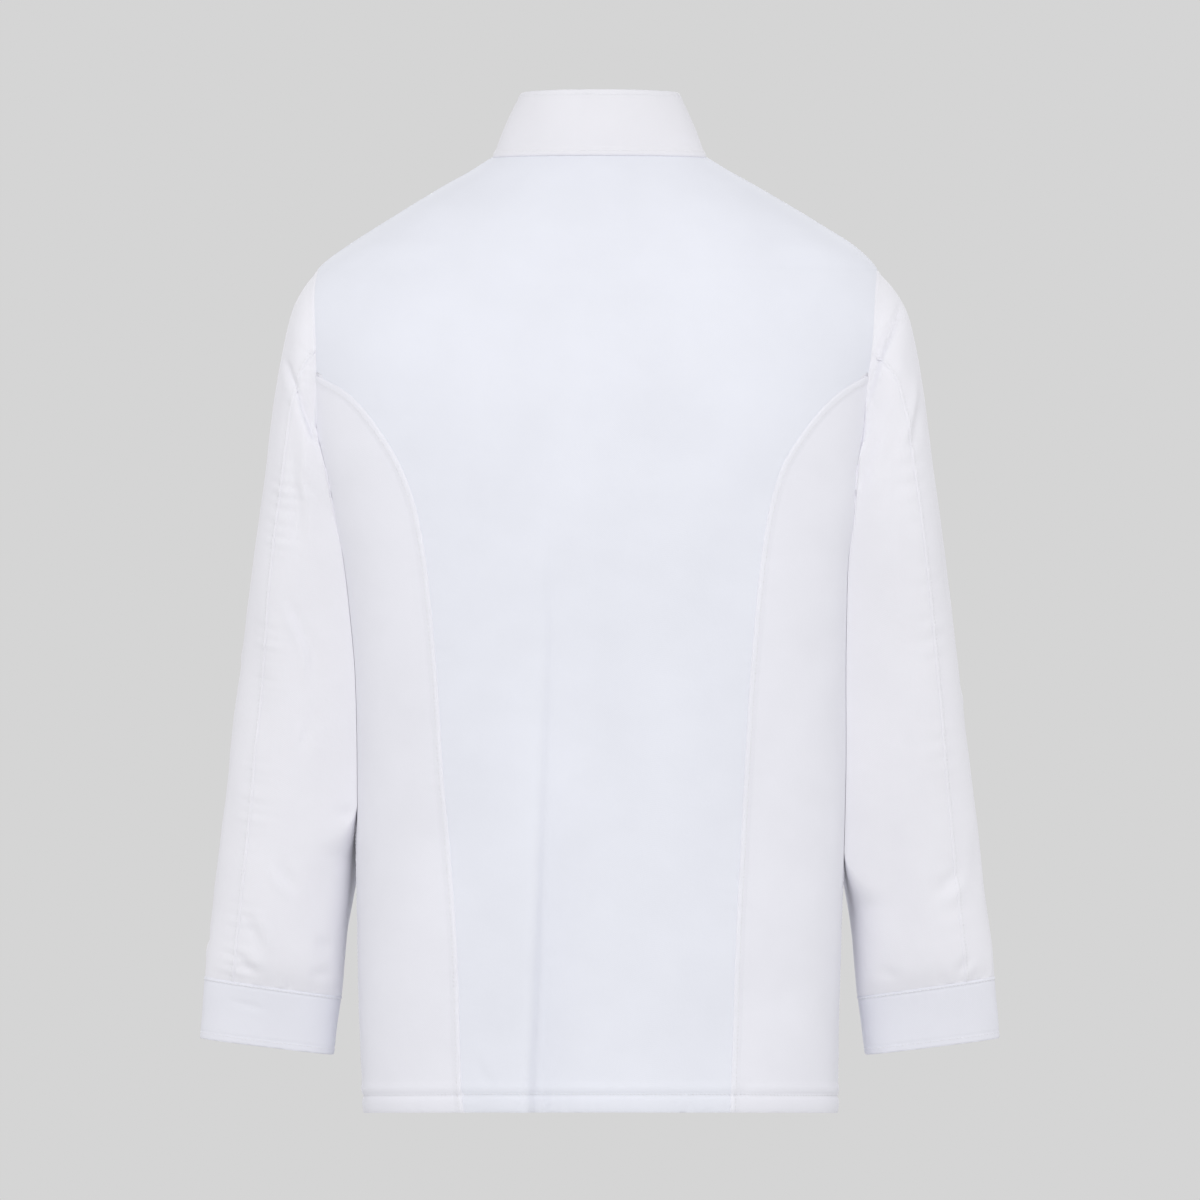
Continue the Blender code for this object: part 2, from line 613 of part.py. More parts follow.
def ring_point(rings, side, angle, station, folded):
    """A point of the oval at this station: angle 0 is its outer edge and 90 degrees its back."""
    places = np.arange(len(rings))
    outer_x, outer_z, inner_z, gap, middle_y, half_depth, square = (
        smooth(station, places, column(rings, name)) for name in Ring._fields
    )
    inner_x = even_width(inner_z, side) + gap
    start, hugging, leaving, end = *HUG_STARTS, *HUG_ENDS[side]
    hug = ease((station - start) / (hugging - start)) * (1 - ease((station - leaving) / (end - leaving)))
    hug = hug * (rings is SLEEVE_RINGS)
    out, back = np.cos(angle), np.sin(angle)
    corner = np.interp(back, (-0.3, 0.3), (FRONT_CORNER_SQUARE, CORNER_SQUARE))
    square = square + (corner - square) * hug * ease(-out / 0.4)
    size = (np.abs(out) ** square + np.abs(back) ** square) ** (-1 / square)
    out, back = out * size, back * size
    x = (outer_x + inner_x) / 2 + (outer_x - inner_x) / 2 * out
    z = (outer_z + inner_z) / 2 + (outer_z - inner_z) / 2 * out
    y = middle_y + half_depth * back
    pulled_from = np.interp(back, (-0.3, 0.3), (0.45, 0.2))
    clear = np.maximum(x - gap - outline_x(y, z, side), 0)
    x = x - clear * HUG * hug * ease((-out - pulled_from) / 0.45)
    if folded:
        part = f"sleeve_{SIDE_NAMES[side]}"
        y = y + ease(back / FACING_SHARE) * relief(part, BACK, side * x, z)
        y = y - ease(-back / FACING_SHARE) * relief(part, FRONT, side * x, z)
    return np.stack([side * x, y, z], axis=-1)


def sleeve_point(side, turn, station, folded=True):
    turn, station = np.broadcast_arrays(turn, station)
    ring = ring_point(SLEEVE_RINGS, side, ring_angle(turn, station), station, folded)
    first = ring_point(SLEEVE_RINGS, side, 2 * math.pi * turn, np.zeros(turn.shape), False)
    own_shape = 1 - ease(station / ARMHOLE_SHAPE_ENDS)
    return ring + own_shape[..., None] * (armhole_point(side, turn) - first)


def cuff_point(side, turn, station, folded=True):
    turn, station = np.broadcast_arrays(turn, station)
    return ring_point(CUFF_RINGS, side, ring_angle(turn, SEAMS_SETTLE), station, folded)


def tube_grid(surface, side, turns, stations):
    """(points, normals, directions down the arm) of a sleeve or cuff over its columns and rings."""
    turn, station = np.meshgrid(turns, stations)
    above, below = station - TINY, station + TINY
    down = surface(side, turn, below, False) - surface(side, turn, above, False)
    round_it = surface(side, turn + TINY, station, False) - surface(side, turn - TINY, station, False)
    return surface(side, turn, station), unit(np.cross(down, round_it)) * side, unit(down)


def sleeve_panel(name, side, columns, material):
    turns = np.array(columns) / ARMHOLE_COLUMNS
    turns = np.where(turns > 1, turns - 1, turns)
    points, normals, down = tube_grid(sleeve_point, side, turns, SLEEVE_STATIONS)
    points[0] += down[0] * ARMHOLE_GAP
    everywhere = np.ones(len(points), bool)
    points = pulled_in(points, normals, False, everywhere)
    points = pulled_in(points, normals, True, everywhere)
    present = np.ones((points.shape[0] - 1, points.shape[1] - 1), bool)
    wall(f"{name}_{SIDE_NAMES[side]}", points, points - normals * WALL, present, material)


def sleeve(side, material):
    wrapped = list(range(FORE_SEAM_COLUMN, ARMHOLE_COLUMNS)) + [0.0]
    upper = wrapped + list(range(1, HIND_SEAM_COLUMN + 1))
    sleeve_panel("upper_sleeve", side, upper, material)
    sleeve_panel("under_sleeve", side, range(HIND_SEAM_COLUMN, FORE_SEAM_COLUMN + 1), material)


def cuff(side, material):
    """A closed band below the sleeve."""
    turns = np.arange(ARMHOLE_COLUMNS) / ARMHOLE_COLUMNS
    outer, normals, _ = tube_grid(cuff_point, side, turns, CUFF_STATIONS)
    inner = outer - normals * BAND_WALL
    outer, inner = (np.concatenate([grid, grid[:, :1]], axis=1) for grid in (outer, inner))
    ring_wall(f"cuff_{SIDE_NAMES[side]}", outer, inner, material)


def ring_wall(name, outer, inner, material):
    """As wall(), for grids whose last column is their first one again."""
    rows, columns = outer.shape[0], outer.shape[1] - 1
    number = np.arange(rows * columns).reshape(rows, columns)
    number = np.concatenate([number, number[:, :1]], axis=1)
    layer = rows * columns
    faces = []
    for i in range(rows - 1):
        for j in range(columns):
            cell = [number[i, j], number[i, j + 1], number[i + 1, j + 1], number[i + 1, j]]
            faces.append(cell)
            faces.append([corner + layer for corner in reversed(cell)])
    for j in range(columns):
        top, bottom = (number[0, j], number[0, j + 1]), (number[-1, j], number[-1, j + 1])
        faces.append([top[1], top[0], top[0] + layer, top[1] + layer])
        faces.append([bottom[0], bottom[1], bottom[1] + layer, bottom[0] + layer])
    points = np.concatenate([outer[:, :-1].reshape(-1, 3), inner[:, :-1].reshape(-1, 3)])
    solid(name, points, faces, material)


# Buttons


def button(name, x, z, material):
    """A plain disc with bevelled edges that lies on the left front."""
    angle = np.array([angle_at(np.array(x), np.array(z), True) % (2 * math.pi)])
    height = np.array([z])
    normal = body_normal(angle, height)
    foot = body_point(angle, height)
    foot = (foot + normal * (overlap_lift(foot, angle)[..., None] + SEAM_GAP))[0]
    out = normal[0]
    across = unit(np.cross(out, (0.0, 0.0, 1.0)))
    up = np.cross(across, out)
    profile = [
        (BUTTON_RADIUS - BUTTON_EDGE, 0.0),
        (BUTTON_RADIUS, BUTTON_THICKNESS / 2),
        (BUTTON_RADIUS - BUTTON_EDGE, BUTTON_THICKNESS),
    ]
    round_it = np.arange(BUTTON_SIDES) * 2 * math.pi / BUTTON_SIDES
    circle = np.cos(round_it)[:, None] * across + np.sin(round_it)[:, None] * up
    points = np.concatenate([foot + out * height + circle * radius for radius, height in profile])
    faces = [list(range(BUTTON_SIDES))[::-1]]
    faces.append([corner + 2 * BUTTON_SIDES for corner in range(BUTTON_SIDES)])
    for ring in range(len(profile) - 1):
        for j in range(BUTTON_SIDES):
            here, there = ring * BUTTON_SIDES + j, ring * BUTTON_SIDES + (j + 1) % BUTTON_SIDES
            faces.append([here, there, there + BUTTON_SIDES, here + BUTTON_SIDES])
    solid(name, points, faces, material)


def make_material(name, color, roughness):
    material = bpy.data.materials.new(name)
    material.use_nodes = True
    shader = material.node_tree.nodes["Principled BSDF"]
    shader.inputs["Base Color"].default_value = (*color, 1)
    shader.inputs["Roughness"].default_value = roughness
    shader.inputs["Metallic"].default_value = 0
    return material


def clear_scene():
    for old in list(bpy.data.objects):
        bpy.data.objects.remove(old)


def build():
    clear_scene()
    back_cloth = make_material("back_cloth", (0.84, 0.85, 0.90), 0.85)
    side_cloth = make_material("side_cloth", (0.80, 0.80, 0.86), 0.85)
    front_cloth = make_material("front_cloth", (0.83, 0.84, 0.88), 0.85)
    collar_cloth = make_material("collar_cloth", (0.83, 0.83, 0.88), 0.85)
    sleeve_cloth = make_material("sleeve_cloth", (0.82, 0.82, 0.87), 0.85)
    cuff_cloth = make_material("cuff_cloth", (0.78, 0.79, 0.85), 0.85)
    plastic = make_material("button_plastic", (0.86, 0.86, 0.86), 0.35)
    back_angles = centre_back(back_cloth)
    collar(back_angles, collar_cloth)
    for side in (LEFT, RIGHT):
        side_back(side, side_cloth)
        front(side, front_cloth)
        sleeve(side, sleeve_cloth)
        cuff(side, cuff_cloth)
        for row in range(BUTTON_ROWS):
            name = f"button_{SIDE_NAMES[side]}_{row + 1}"
            button(name, side * BUTTON_COLUMN_X, BUTTON_TOP_Z - row * BUTTON_SPACING, plastic)


build()
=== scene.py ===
"""Looks for the chef jacket: fine cloth shells on the forms of its solids, with their creases and
stitching, and buttons. Metres, +Z up. The back faces +Y and the camera; +X is the wearer's left.
"""

import math
from collections import namedtuple

import bpy
import numpy as np
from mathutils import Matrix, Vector
from mathutils.bvhtree import BVHTree
from mathutils.geometry import tessellate_polygon
from mathutils.kdtree import KDTree


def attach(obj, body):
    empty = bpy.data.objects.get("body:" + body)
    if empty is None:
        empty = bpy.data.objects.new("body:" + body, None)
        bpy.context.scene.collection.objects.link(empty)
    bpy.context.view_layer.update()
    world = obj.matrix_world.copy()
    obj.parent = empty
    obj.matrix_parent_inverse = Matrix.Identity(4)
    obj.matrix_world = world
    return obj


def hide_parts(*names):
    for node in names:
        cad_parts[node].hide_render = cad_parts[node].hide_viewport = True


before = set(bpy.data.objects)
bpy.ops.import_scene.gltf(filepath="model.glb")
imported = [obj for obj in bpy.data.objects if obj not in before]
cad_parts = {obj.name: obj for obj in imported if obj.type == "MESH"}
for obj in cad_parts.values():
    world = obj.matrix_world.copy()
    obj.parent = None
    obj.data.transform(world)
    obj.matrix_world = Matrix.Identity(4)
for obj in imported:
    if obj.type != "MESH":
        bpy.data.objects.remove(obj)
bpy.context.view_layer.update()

# Where the photograph's pixels lie: 0.8 mm each in the plane of the side seams.
PIXEL = 0.0008
MIDDLE_PX = 599.5
NECK_PX = 158
CAMERA_DISTANCE = 9.0
PICTURE_WIDTH_PX = 1200
SENSOR_MM = 36.0

CLOTH = 0.0011  # one layer with its nap
BAND = 0.0020  # the collar and the cuffs, which are cloth on both sides
LEFT, RIGHT = 1, -1
SIDE_NAMES = {LEFT: "left", RIGHT: "right"}

# The jacket's own form, as its solids have it

NECK_Z = 0.0
SHOULDER_Z = -0.090
UNDERARM_Z = -0.262
HEM_Z = -0.764
HEM_LIFT = 0.006
ARMHOLE_MIDDLE = (SHOULDER_Z + UNDERARM_Z) / 2
ARMHOLE_HALF = (SHOULDER_Z - UNDERARM_Z) / 2
ARMHOLE_BACK = 0.067
ARMHOLE_FRONT = 0.062
ARMHOLE_SQUARE = 3.0  # how square its lower half is
EVEN_OVER = 0.022
EVEN_SHARE = 0.2
EVEN_SAMPLES = 25

Slice = namedtuple("Slice", "z left right back front square")
SLICES = [
    Slice(0.000, 0.0850, 0.0850, 0.050, 0.040, 2.1),
    Slice(-0.010, 0.1010, 0.1010, 0.061, 0.047, 2.1),
    Slice(-0.020, 0.1185, 0.1185, 0.070, 0.052, 2.1),
    Slice(-0.040, 0.1520, 0.1520, 0.085, 0.058, 2.1),
    Slice(-0.060, 0.1850, 0.1850, 0.096, 0.065, 2.1),
    Slice(-0.075, 0.2085, 0.2085, 0.102, 0.074, 2.2),
    Slice(-0.090, 0.2260, 0.2235, 0.108, 0.084, 2.2),
    Slice(-0.105, 0.2265, 0.2190, 0.113, 0.094, 2.3),
    Slice(-0.150, 0.2263, 0.2175, 0.123, 0.115, 2.5),
    Slice(-0.180, 0.2262, 0.2142, 0.127, 0.125, 2.7),
    Slice(-0.205, 0.2262, 0.2122, 0.129, 0.130, 2.9),
    Slice(-0.235, 0.2260, 0.2115, 0.130, 0.134, 3.0),
    Slice(-0.262, 0.2240, 0.2125, 0.130, 0.136, 3.0),
    Slice(-0.290, 0.2172, 0.2096, 0.129, 0.137, 3.0),
    Slice(-0.320, 0.2100, 0.2040, 0.128, 0.137, 2.9),
    Slice(-0.360, 0.2035, 0.2012, 0.126, 0.136, 2.8),
    Slice(-0.420, 0.1972, 0.1992, 0.123, 0.135, 2.6),
    Slice(-0.480, 0.1948, 0.1982, 0.121, 0.133, 2.5),
    Slice(-0.560, 0.1935, 0.1955, 0.120, 0.132, 2.4),
    Slice(-0.640, 0.1922, 0.1925, 0.121, 0.132, 2.4),
    Slice(-0.700, 0.1905, 0.1905, 0.122, 0.133, 2.4),
    Slice(-0.764, 0.1885, 0.1895, 0.124, 0.134, 2.4),
]

Seam = namedtuple("Seam", "z left right")
PRINCESS_SEAMS = [
    Seam(-0.176, 0.2232, 0.2112),
    Seam(-0.190, 0.1990, 0.1885),
    Seam(-0.222, 0.1720, 0.1600),
    Seam(-0.252, 0.1550, 0.1425),
    Seam(-0.286, 0.1435, 0.1330),
    Seam(-0.326, 0.1365, 0.1270),
    Seam(-0.382, 0.1310, 0.1215),
    Seam(-0.438, 0.1268, 0.1175),
    Seam(-0.495, 0.1235, 0.1145),
    Seam(-0.551, 0.1185, 0.1115),
    Seam(-0.636, 0.1125, 0.1075),
    Seam(-0.742, 0.1090, 0.1040),
    Seam(-0.764, 0.1070, 0.1030),
]

NeckPoint = namedtuple("NeckPoint", "x z")
NECKLINE = [
    NeckPoint(0.0849, -0.0008),
    NeckPoint(0.0835, -0.0100),
    NeckPoint(0.0790, -0.0210),
    NeckPoint(0.0700, -0.0330),
    NeckPoint(0.0550, -0.0440),
    NeckPoint(0.0310, -0.0525),
    NeckPoint(0.0000, -0.0565),
]

OVERLAP = 0.075
OVERLAP_LIFT = 0.0026
OVERLAP_RAMP = (0.080, 0.110)
OVERLAP_FROM = math.radians(100)  # round the body, where the lifted lap begins
OVERLAP_TURNS = math.radians(25)
RIGHT_LAP_ROWS = 4  # how many rows lower the right front's lap begins

Ring = namedtuple("Ring", "outer_x outer_z inner_z gap middle_y half_depth square")
SLEEVE_RINGS = [
    Ring(0.2260, -0.0900, -0.2620, 0.0000, 0.0025, 0.0645, 2.0),
    Ring(0.2364, -0.1030, -0.2650, 0.0028, 0.0025, 0.0655, 2.1),
    Ring(0.2455, -0.1215, -0.2690, 0.0032, 0.0020, 0.0665, 2.2),
    Ring(0.2516, -0.1450, -0.2740, 0.0032, 0.0000, 0.0680, 2.3),
    Ring(0.2566, -0.1720, -0.2800, 0.0032, -0.0030, 0.0695, 2.4),
    Ring(0.2614, -0.2040, -0.2890, 0.0032, -0.0060, 0.0705, 2.4),
    Ring(0.2663, -0.2430, -0.3020, 0.0032, -0.0100, 0.0705, 2.4),
    Ring(0.2724, -0.2850, -0.3240, 0.0032, -0.0140, 0.0695, 2.4),
    Ring(0.2782, -0.3320, -0.3550, 0.0032, -0.0180, 0.0665, 2.4),
    Ring(0.2846, -0.3830, -0.4000, 0.0030, -0.0230, 0.0625, 2.4),
    Ring(0.2914, -0.4360, -0.4500, 0.0030, -0.0280, 0.0585, 2.3),
    Ring(0.2975, -0.4900, -0.5030, 0.0030, -0.0320, 0.0545, 2.3),
    Ring(0.3045, -0.5440, -0.5570, 0.0036, -0.0360, 0.0500, 2.3),
    Ring(0.3105, -0.5980, -0.6120, 0.0085, -0.0390, 0.0450, 2.3),
    Ring(0.3156, -0.6380, -0.6545, 0.0135, -0.0400, 0.0400, 2.3),
    Ring(0.3170, -0.6560, -0.6715, 0.0158, -0.0405, 0.0335, 2.2),
]
CUFF_RINGS = [
    Ring(0.3174, -0.6564, -0.6719, 0.0160, -0.0405, 0.0335, 2.2),
    Ring(0.3188, -0.6810, -0.6950, 0.0200, -0.0405, 0.0315, 2.2),
    Ring(0.3208, -0.7055, -0.7185, 0.0232, -0.0405, 0.0300, 2.2),
]
CORNER_SQUARE = 8.0  # how square a sleeve is where it is folded against the body
FRONT_CORNER_SQUARE = 4.0
LOOSE_CORNER_SQUARE = 3.6  # the same lower down, where it hangs clear of the body
FOLD_TURN = 0.37  # where round the sleeve that fold lies
TOUCH = 0.0003  # the gap that the fold leaves
HUG_STARTS = (-0.6, 0.15)  # the rings over which the sleeve comes to lie against the body
HUG_ENDS = {LEFT: (11.3, 12.1), RIGHT: (12.0, 12.8)}  # and those over which it leaves it
FRONT_HUG_ENDS = (10.2, 13.4)  # the same at the front
FRONT_TO_BACK = (-0.3, 0.3)  # the sines round a sleeve between which its front turns into its back
CORNER_TURNS = 0.4  # and the cosine by which that corner has its own squareness
PULL_STARTS = (0.45, 0.2)  # where round it, front and back, the fold starts to draw it in
PULL_TURNS = 0.45
ARMHOLE_SHAPE_ENDS = 2.6
UNDERARM_SHAPE_ENDS = 0.8
UNDERARM_TURNS = 0.7
SEAMS_SETTLE = 10
HIND_SEAM_TURN = 6 / 28
FORE_SEAM_TURN = 18 / 28
HIND_SEAM_ANGLE = math.radians(57)
FORE_SEAM_ANGLE = math.radians(238)

BACK, FRONT, OUTSIDE, INSIDE = "back", "front", "outside", "inside"
FACING_SHARE = 0.5
# The main folds of each part and face. A point is (z, x, height of the crest, depth of the hollow).
Fold = namedtuple("Fold", "crest_side soft crest_width hollow_width points")
FOLDS = {
    ("body", BACK): [
        Fold(LEFT, 0.0035, 0.036, 0.050, [
            (-0.280, 0.0410, 0.0000, 0.0000),
            (-0.380, 0.0404, 0.0020, 0.0022),
            (-0.495, 0.0444, 0.0040, 0.0045),
            (-0.610, 0.0476, 0.0070, 0.0070),
            (-0.764, 0.0530, 0.0092, 0.0085),
        ]),
    ],
    ("body", FRONT): [
        Fold(RIGHT, 0.007, 0.035, 0.040, [
            (-0.480, -0.1180, 0.0000, 0.0000),
            (-0.600, -0.1160, 0.0035, 0.0030),
            (-0.764, -0.1120, 0.0070, 0.0055),
        ]),
        Fold(LEFT, 0.007, 0.032, 0.040, [
            (-0.440, 0.1230, 0.0000, 0.0000),
            (-0.580, 0.1220, 0.0030, 0.0030),
            (-0.764, 0.1200, 0.0060, 0.0050),
        ]),
    ],
    ("sleeve_left", BACK): [
        Fold(LEFT, 0.0026, 0.016, 0.026, [
            (-0.140, 0.2580, 0.0000, 0.0000),
            (-0.160, 0.2540, 0.0012, 0.0016),
            (-0.184, 0.2410, 0.0014, 0.0012),
            (-0.222, 0.2276, 0.0012, 0.0006),
            (-0.264, 0.2170, 0.0000, 0.0000),
            (-0.330, 0.2070, 0.0000, 0.0000),
        ]),
    ],
    ("sleeve_right", BACK): [
        Fold(RIGHT, 0.0026, 0.016, 0.026, [
            (-0.098, -0.2500, 0.0000, 0.0000),
            (-0.118, -0.2436, 0.0012, 0.0016),
            (-0.150, -0.2300, 0.0016, 0.0016),
            (-0.184, -0.2156, 0.0014, 0.0010),
            (-0.242, -0.2060, 0.0000, 0.0000),
            (-0.320, -0.2010, 0.0000, 0.0000),
        ]),
    ],
    ("sleeve_left", FRONT): [
        Fold(LEFT, 0.0040, 0.016, 0.026, [
            (-0.135, 0.2560, 0.0000, 0.0000),
            (-0.170, 0.2440, 0.0035, 0.0045),
            (-0.215, 0.2300, 0.0035, 0.0050),
            (-0.300, 0.2150, 0.0000, 0.0000),
        ]),
    ],
    ("sleeve_right", FRONT): [
        Fold(RIGHT, 0.0040, 0.016, 0.026, [
            (-0.125, -0.2540, 0.0000, 0.0000),
            (-0.160, -0.2400, 0.0035, 0.0045),
            (-0.205, -0.2250, 0.0035, 0.0050),
            (-0.290, -0.2090, 0.0000, 0.0000),
        ]),
    ],
}

COLLAR_RISES = ((-0.063, 0.046), (0.0, 0.0515), (0.050, 0.053))
COLLAR_NARROWS = 0.741
COLLAR_CLOSES = 0.93
COLLAR_END_GAP = 0.003
COLLAR_CORNER = 0.014  # how far the collar's front corners are rounded
COLLAR_CORNER_DROP = 0.007
COLLAR_CROWN = 0.0014

# Row numbers on the body: shoulder rows, then armhole rows, then rows down to the hem
SHOULDER_ROW = 6
UNDERARM_ROW = 20
HEM_ROW = 32
PRINCESS_ROW = 13

# How fine the shells are
STEP = 0.0026
FINE_STEP = 0.0008
FINE_REACH = 0.009
TINY = 1e-4

# How many points are worked out along each of these
LEVEL_COUNT = 2400
SPREAD_COUNT = 3000
ARMHOLE_COUNT = 700
HEM_COUNT = 1200
NECK_COUNT = 400
SEAM_COUNT = 500
FOLD_COUNT = 400
STATION_COUNT = 600

# The first number of each piece's random draws
SEEDS = {"back_centre": 11, "side_back": 20, "front": 30, "collar": 41, "sleeve": 50, "cuff": 60}


def smooth(at, xs, ys):
    """The curve through the points (xs, ys), which never swings past them, read at `at`."""
    order = np.argsort(xs)
    xs, ys = np.asarray(xs, float)[order], np.asarray(ys, float)[order]
    step = np.diff(xs)
    slope = np.diff(ys) / step
    same_way = slope[:-1] * slope[1:] > 0
    total = np.where(same_way, slope[:-1] + slope[1:], 1)
    inner = np.where(same_way, 2 * slope[:-1] * slope[1:] / total, 0)
    tangent = np.concatenate([slope[:1], inner, slope[-1:]])
    at = np.clip(at, xs[0], xs[-1])
    k = np.clip(np.searchsorted(xs, at) - 1, 0, len(step) - 1)
    t = (at - xs[k]) / step[k]
    from_start = (1 + 2 * t) * (1 - t) ** 2 * ys[k] + t * (1 - t) ** 2 * step[k] * tangent[k]
    from_end = t * t * (3 - 2 * t) * ys[k + 1] - t * t * (1 - t) * step[k] * tangent[k + 1]
    return from_start + from_end


def column(table, name):
    return np.array([getattr(row, name) for row in table])


def ease(t):
    """0 below 0, 1 above 1, and an even S between."""
    t = np.clip(t, 0, 1)
    return t * t * (3 - 2 * t)


def bump(distance, width):
    return np.exp(-((distance / width) ** 2))


def unit(vectors):
    return vectors / np.maximum(np.linalg.norm(vectors, axis=-1, keepdims=True), 1e-12)


def relief(part, face, x, z):
    """How far the main folds of this part stand out from its plain surface at (x, z)."""
    height = np.zeros(np.broadcast(x, z).shape)
    for fold in FOLDS.get((part, face), ()):
        heights, *columns = np.array(fold.points).T
        line, crest, hollow = (smooth(z, heights, values) for values in columns)
        across = (x - line) * fold.crest_side
        leaves_line = 1 - np.exp(-np.abs(across) / fold.soft)
        on_crest = crest * bump(across, fold.crest_width)
        in_hollow = -hollow * bump(across, fold.hollow_width)
        height += leaves_line * np.where(across > 0, on_crest, in_hollow)
    return height


# The body's surface


def side_width(z, side):
    heights, widths = column(SLICES, "z"), column(SLICES, SIDE_NAMES[side])
    on_shoulder, below = heights >= SHOULDER_Z, heights <= SHOULDER_Z
    along_shoulder = smooth(z, heights[on_shoulder], widths[on_shoulder])
    return np.where(z > SHOULDER_Z, along_shoulder, smooth(z, heights[below], widths[below]))


def armhole_reach(z, is_front):
    up = (z - ARMHOLE_MIDDLE) / ARMHOLE_HALF
    square = np.where(up < 0, ARMHOLE_SQUARE, 2.0)
    oval = np.clip(1 - np.abs(up) ** square, 0, 1) ** (1 / square)
    return oval * np.where(is_front, ARMHOLE_FRONT, ARMHOLE_BACK)


def read_slices(z, name):
    return smooth(z, column(SLICES, "z"), column(SLICES, name))


def oval_width(z, side):
    square = read_slices(z, "square")
    back_share = armhole_reach(z, False) / read_slices(z, "back")
    front_share = armhole_reach(z, True) / read_slices(z, "front")
    share = (back_share + front_share) / 2
    return side_width(z, side) / (1 - share**square) ** (1 / square)


def even_width(z, side):
    offsets = np.linspace(-1, 1, EVEN_SAMPLES)
    weights = (1 - offsets**2) ** 2
    over = np.minimum(EVEN_OVER, EVEN_SHARE * (NECK_Z - z))
    widths = [weight * oval_width(z + over * offset, side) for offset, weight in zip(offsets, weights)]
    return sum(widths) / sum(weights)


LEVELS = np.linspace(HEM_Z, NECK_Z, LEVEL_COUNT)
WIDTHS = {side: even_width(LEVELS, side) for side in (LEFT, RIGHT)}


def body_width(z, side):
    return np.interp(z, LEVELS, WIDTHS[side])


def slice_shape(z, is_left, is_front):
    depth = np.where(is_front, read_slices(z, "front"), read_slices(z, "back"))
    width = np.where(is_left, body_width(z, LEFT), body_width(z, RIGHT))
    return width, depth, read_slices(z, "square")


def body_point(angle, z, folded=True):
    """The body's surface: angle 0 is the centre back, and it grows towards the wearer's left."""
    angle, z = np.broadcast_arrays(angle, z)
    across, along = np.sin(angle), np.cos(angle)
    is_left, is_front = across >= 0, along < 0
    width, depth, square = slice_shape(z, is_left, is_front)
    radius = ((np.abs(across) / width) ** square + (np.abs(along) / depth) ** square) ** (-1 / square)
    x, y = radius * across, radius * along
    if folded:
        y = y + ease(along / FACING_SHARE) * relief("body", BACK, x, z)
        y = y - ease(-along / FACING_SHARE) * relief("body", FRONT, x, z)
    lift = HEM_LIFT * ease((z - UNDERARM_Z) / (HEM_Z - UNDERARM_Z)) * np.clip(y / depth, 0, 1)
    return np.stack([x, y, z + lift], axis=-1)


def body_normal(angle, z, folded=True):
    round_it = body_point(angle + TINY, z, folded) - body_point(angle - TINY, z, folded)
    up = body_point(angle, z + TINY, folded) - body_point(angle, z - TINY, folded)
    return unit(np.cross(up, round_it))


def angle_at(x, z, is_front):
    width, depth, square = slice_shape(z, x >= 0, is_front)
    y = depth * np.clip(1 - (np.abs(x) / width) ** square, 0, 1) ** (1 / square)
    return np.arctan2(x, np.where(is_front, -y, y))


def outer_edge(z, side, is_front):
    reach = armhole_reach(z, is_front)
    return np.arctan2(side * side_width(z, side), np.where(is_front, -reach, reach))


def princess_edge(z, side):
    x = side * smooth(z, column(PRINCESS_SEAMS, "z"), column(PRINCESS_SEAMS, SIDE_NAMES[side]))
    return angle_at(x, z, False)


def row_height(row):
    """The height of a row at the shoulder seam, the armhole or the side seam."""
    on_shoulder = SHOULDER_Z * row / SHOULDER_ROW
    turn = math.pi * (row - SHOULDER_ROW) / (UNDERARM_ROW - SHOULDER_ROW)
    at_armhole = ARMHOLE_MIDDLE + ARMHOLE_HALF * np.cos(turn)
    share = (row - UNDERARM_ROW) / (HEM_ROW - UNDERARM_ROW)
    below = UNDERARM_Z + (HEM_Z - UNDERARM_Z) * share
    return np.where(row < SHOULDER_ROW, on_shoulder, np.where(row < UNDERARM_ROW, at_armhole, below))


def overlap_lift(x, angle):
    start, end = OVERLAP_RAMP
    by_width = 1 - ease((x - start) / (end - start))
    by_angle = ease((angle - OVERLAP_FROM) / OVERLAP_TURNS)
    return OVERLAP_LIFT * by_width * by_angle


# The sleeves' surface


def outline_x(y, z, side):
    """The body's half width at this depth and height."""
    square = read_slices(z, "square")
    depth = np.where(y < 0, read_slices(z, "front"), read_slices(z, "back"))
    share = np.clip(np.abs(y) / depth, 0, 1)
    return body_width(z, side) * (1 - share**square) ** (1 / square)


def armhole_point(side, turn):
    """The armhole's edge: turn 0 is the shoulder point, 0.25 the back and 0.5 the underarm."""
    z = ARMHOLE_MIDDLE + ARMHOLE_HALF * np.cos(2 * math.pi * turn)
    is_front = np.sin(2 * math.pi * turn) < 0
    return body_point(outer_edge(z, side, is_front), z, False)


def ring_angle(turn, station):
    turns = [0, HIND_SEAM_TURN, 0.5, FORE_SEAM_TURN, 1]
    angles = [0, HIND_SEAM_ANGLE, math.pi, FORE_SEAM_ANGLE, 2 * math.pi]
    whole = np.floor(turn)
    settled = np.interp(turn - whole, turns, angles) + 2 * math.pi * whole
    share = ease(station / SEAMS_SETTLE)
    return (1 - share) * 2 * math.pi * turn + share * settled


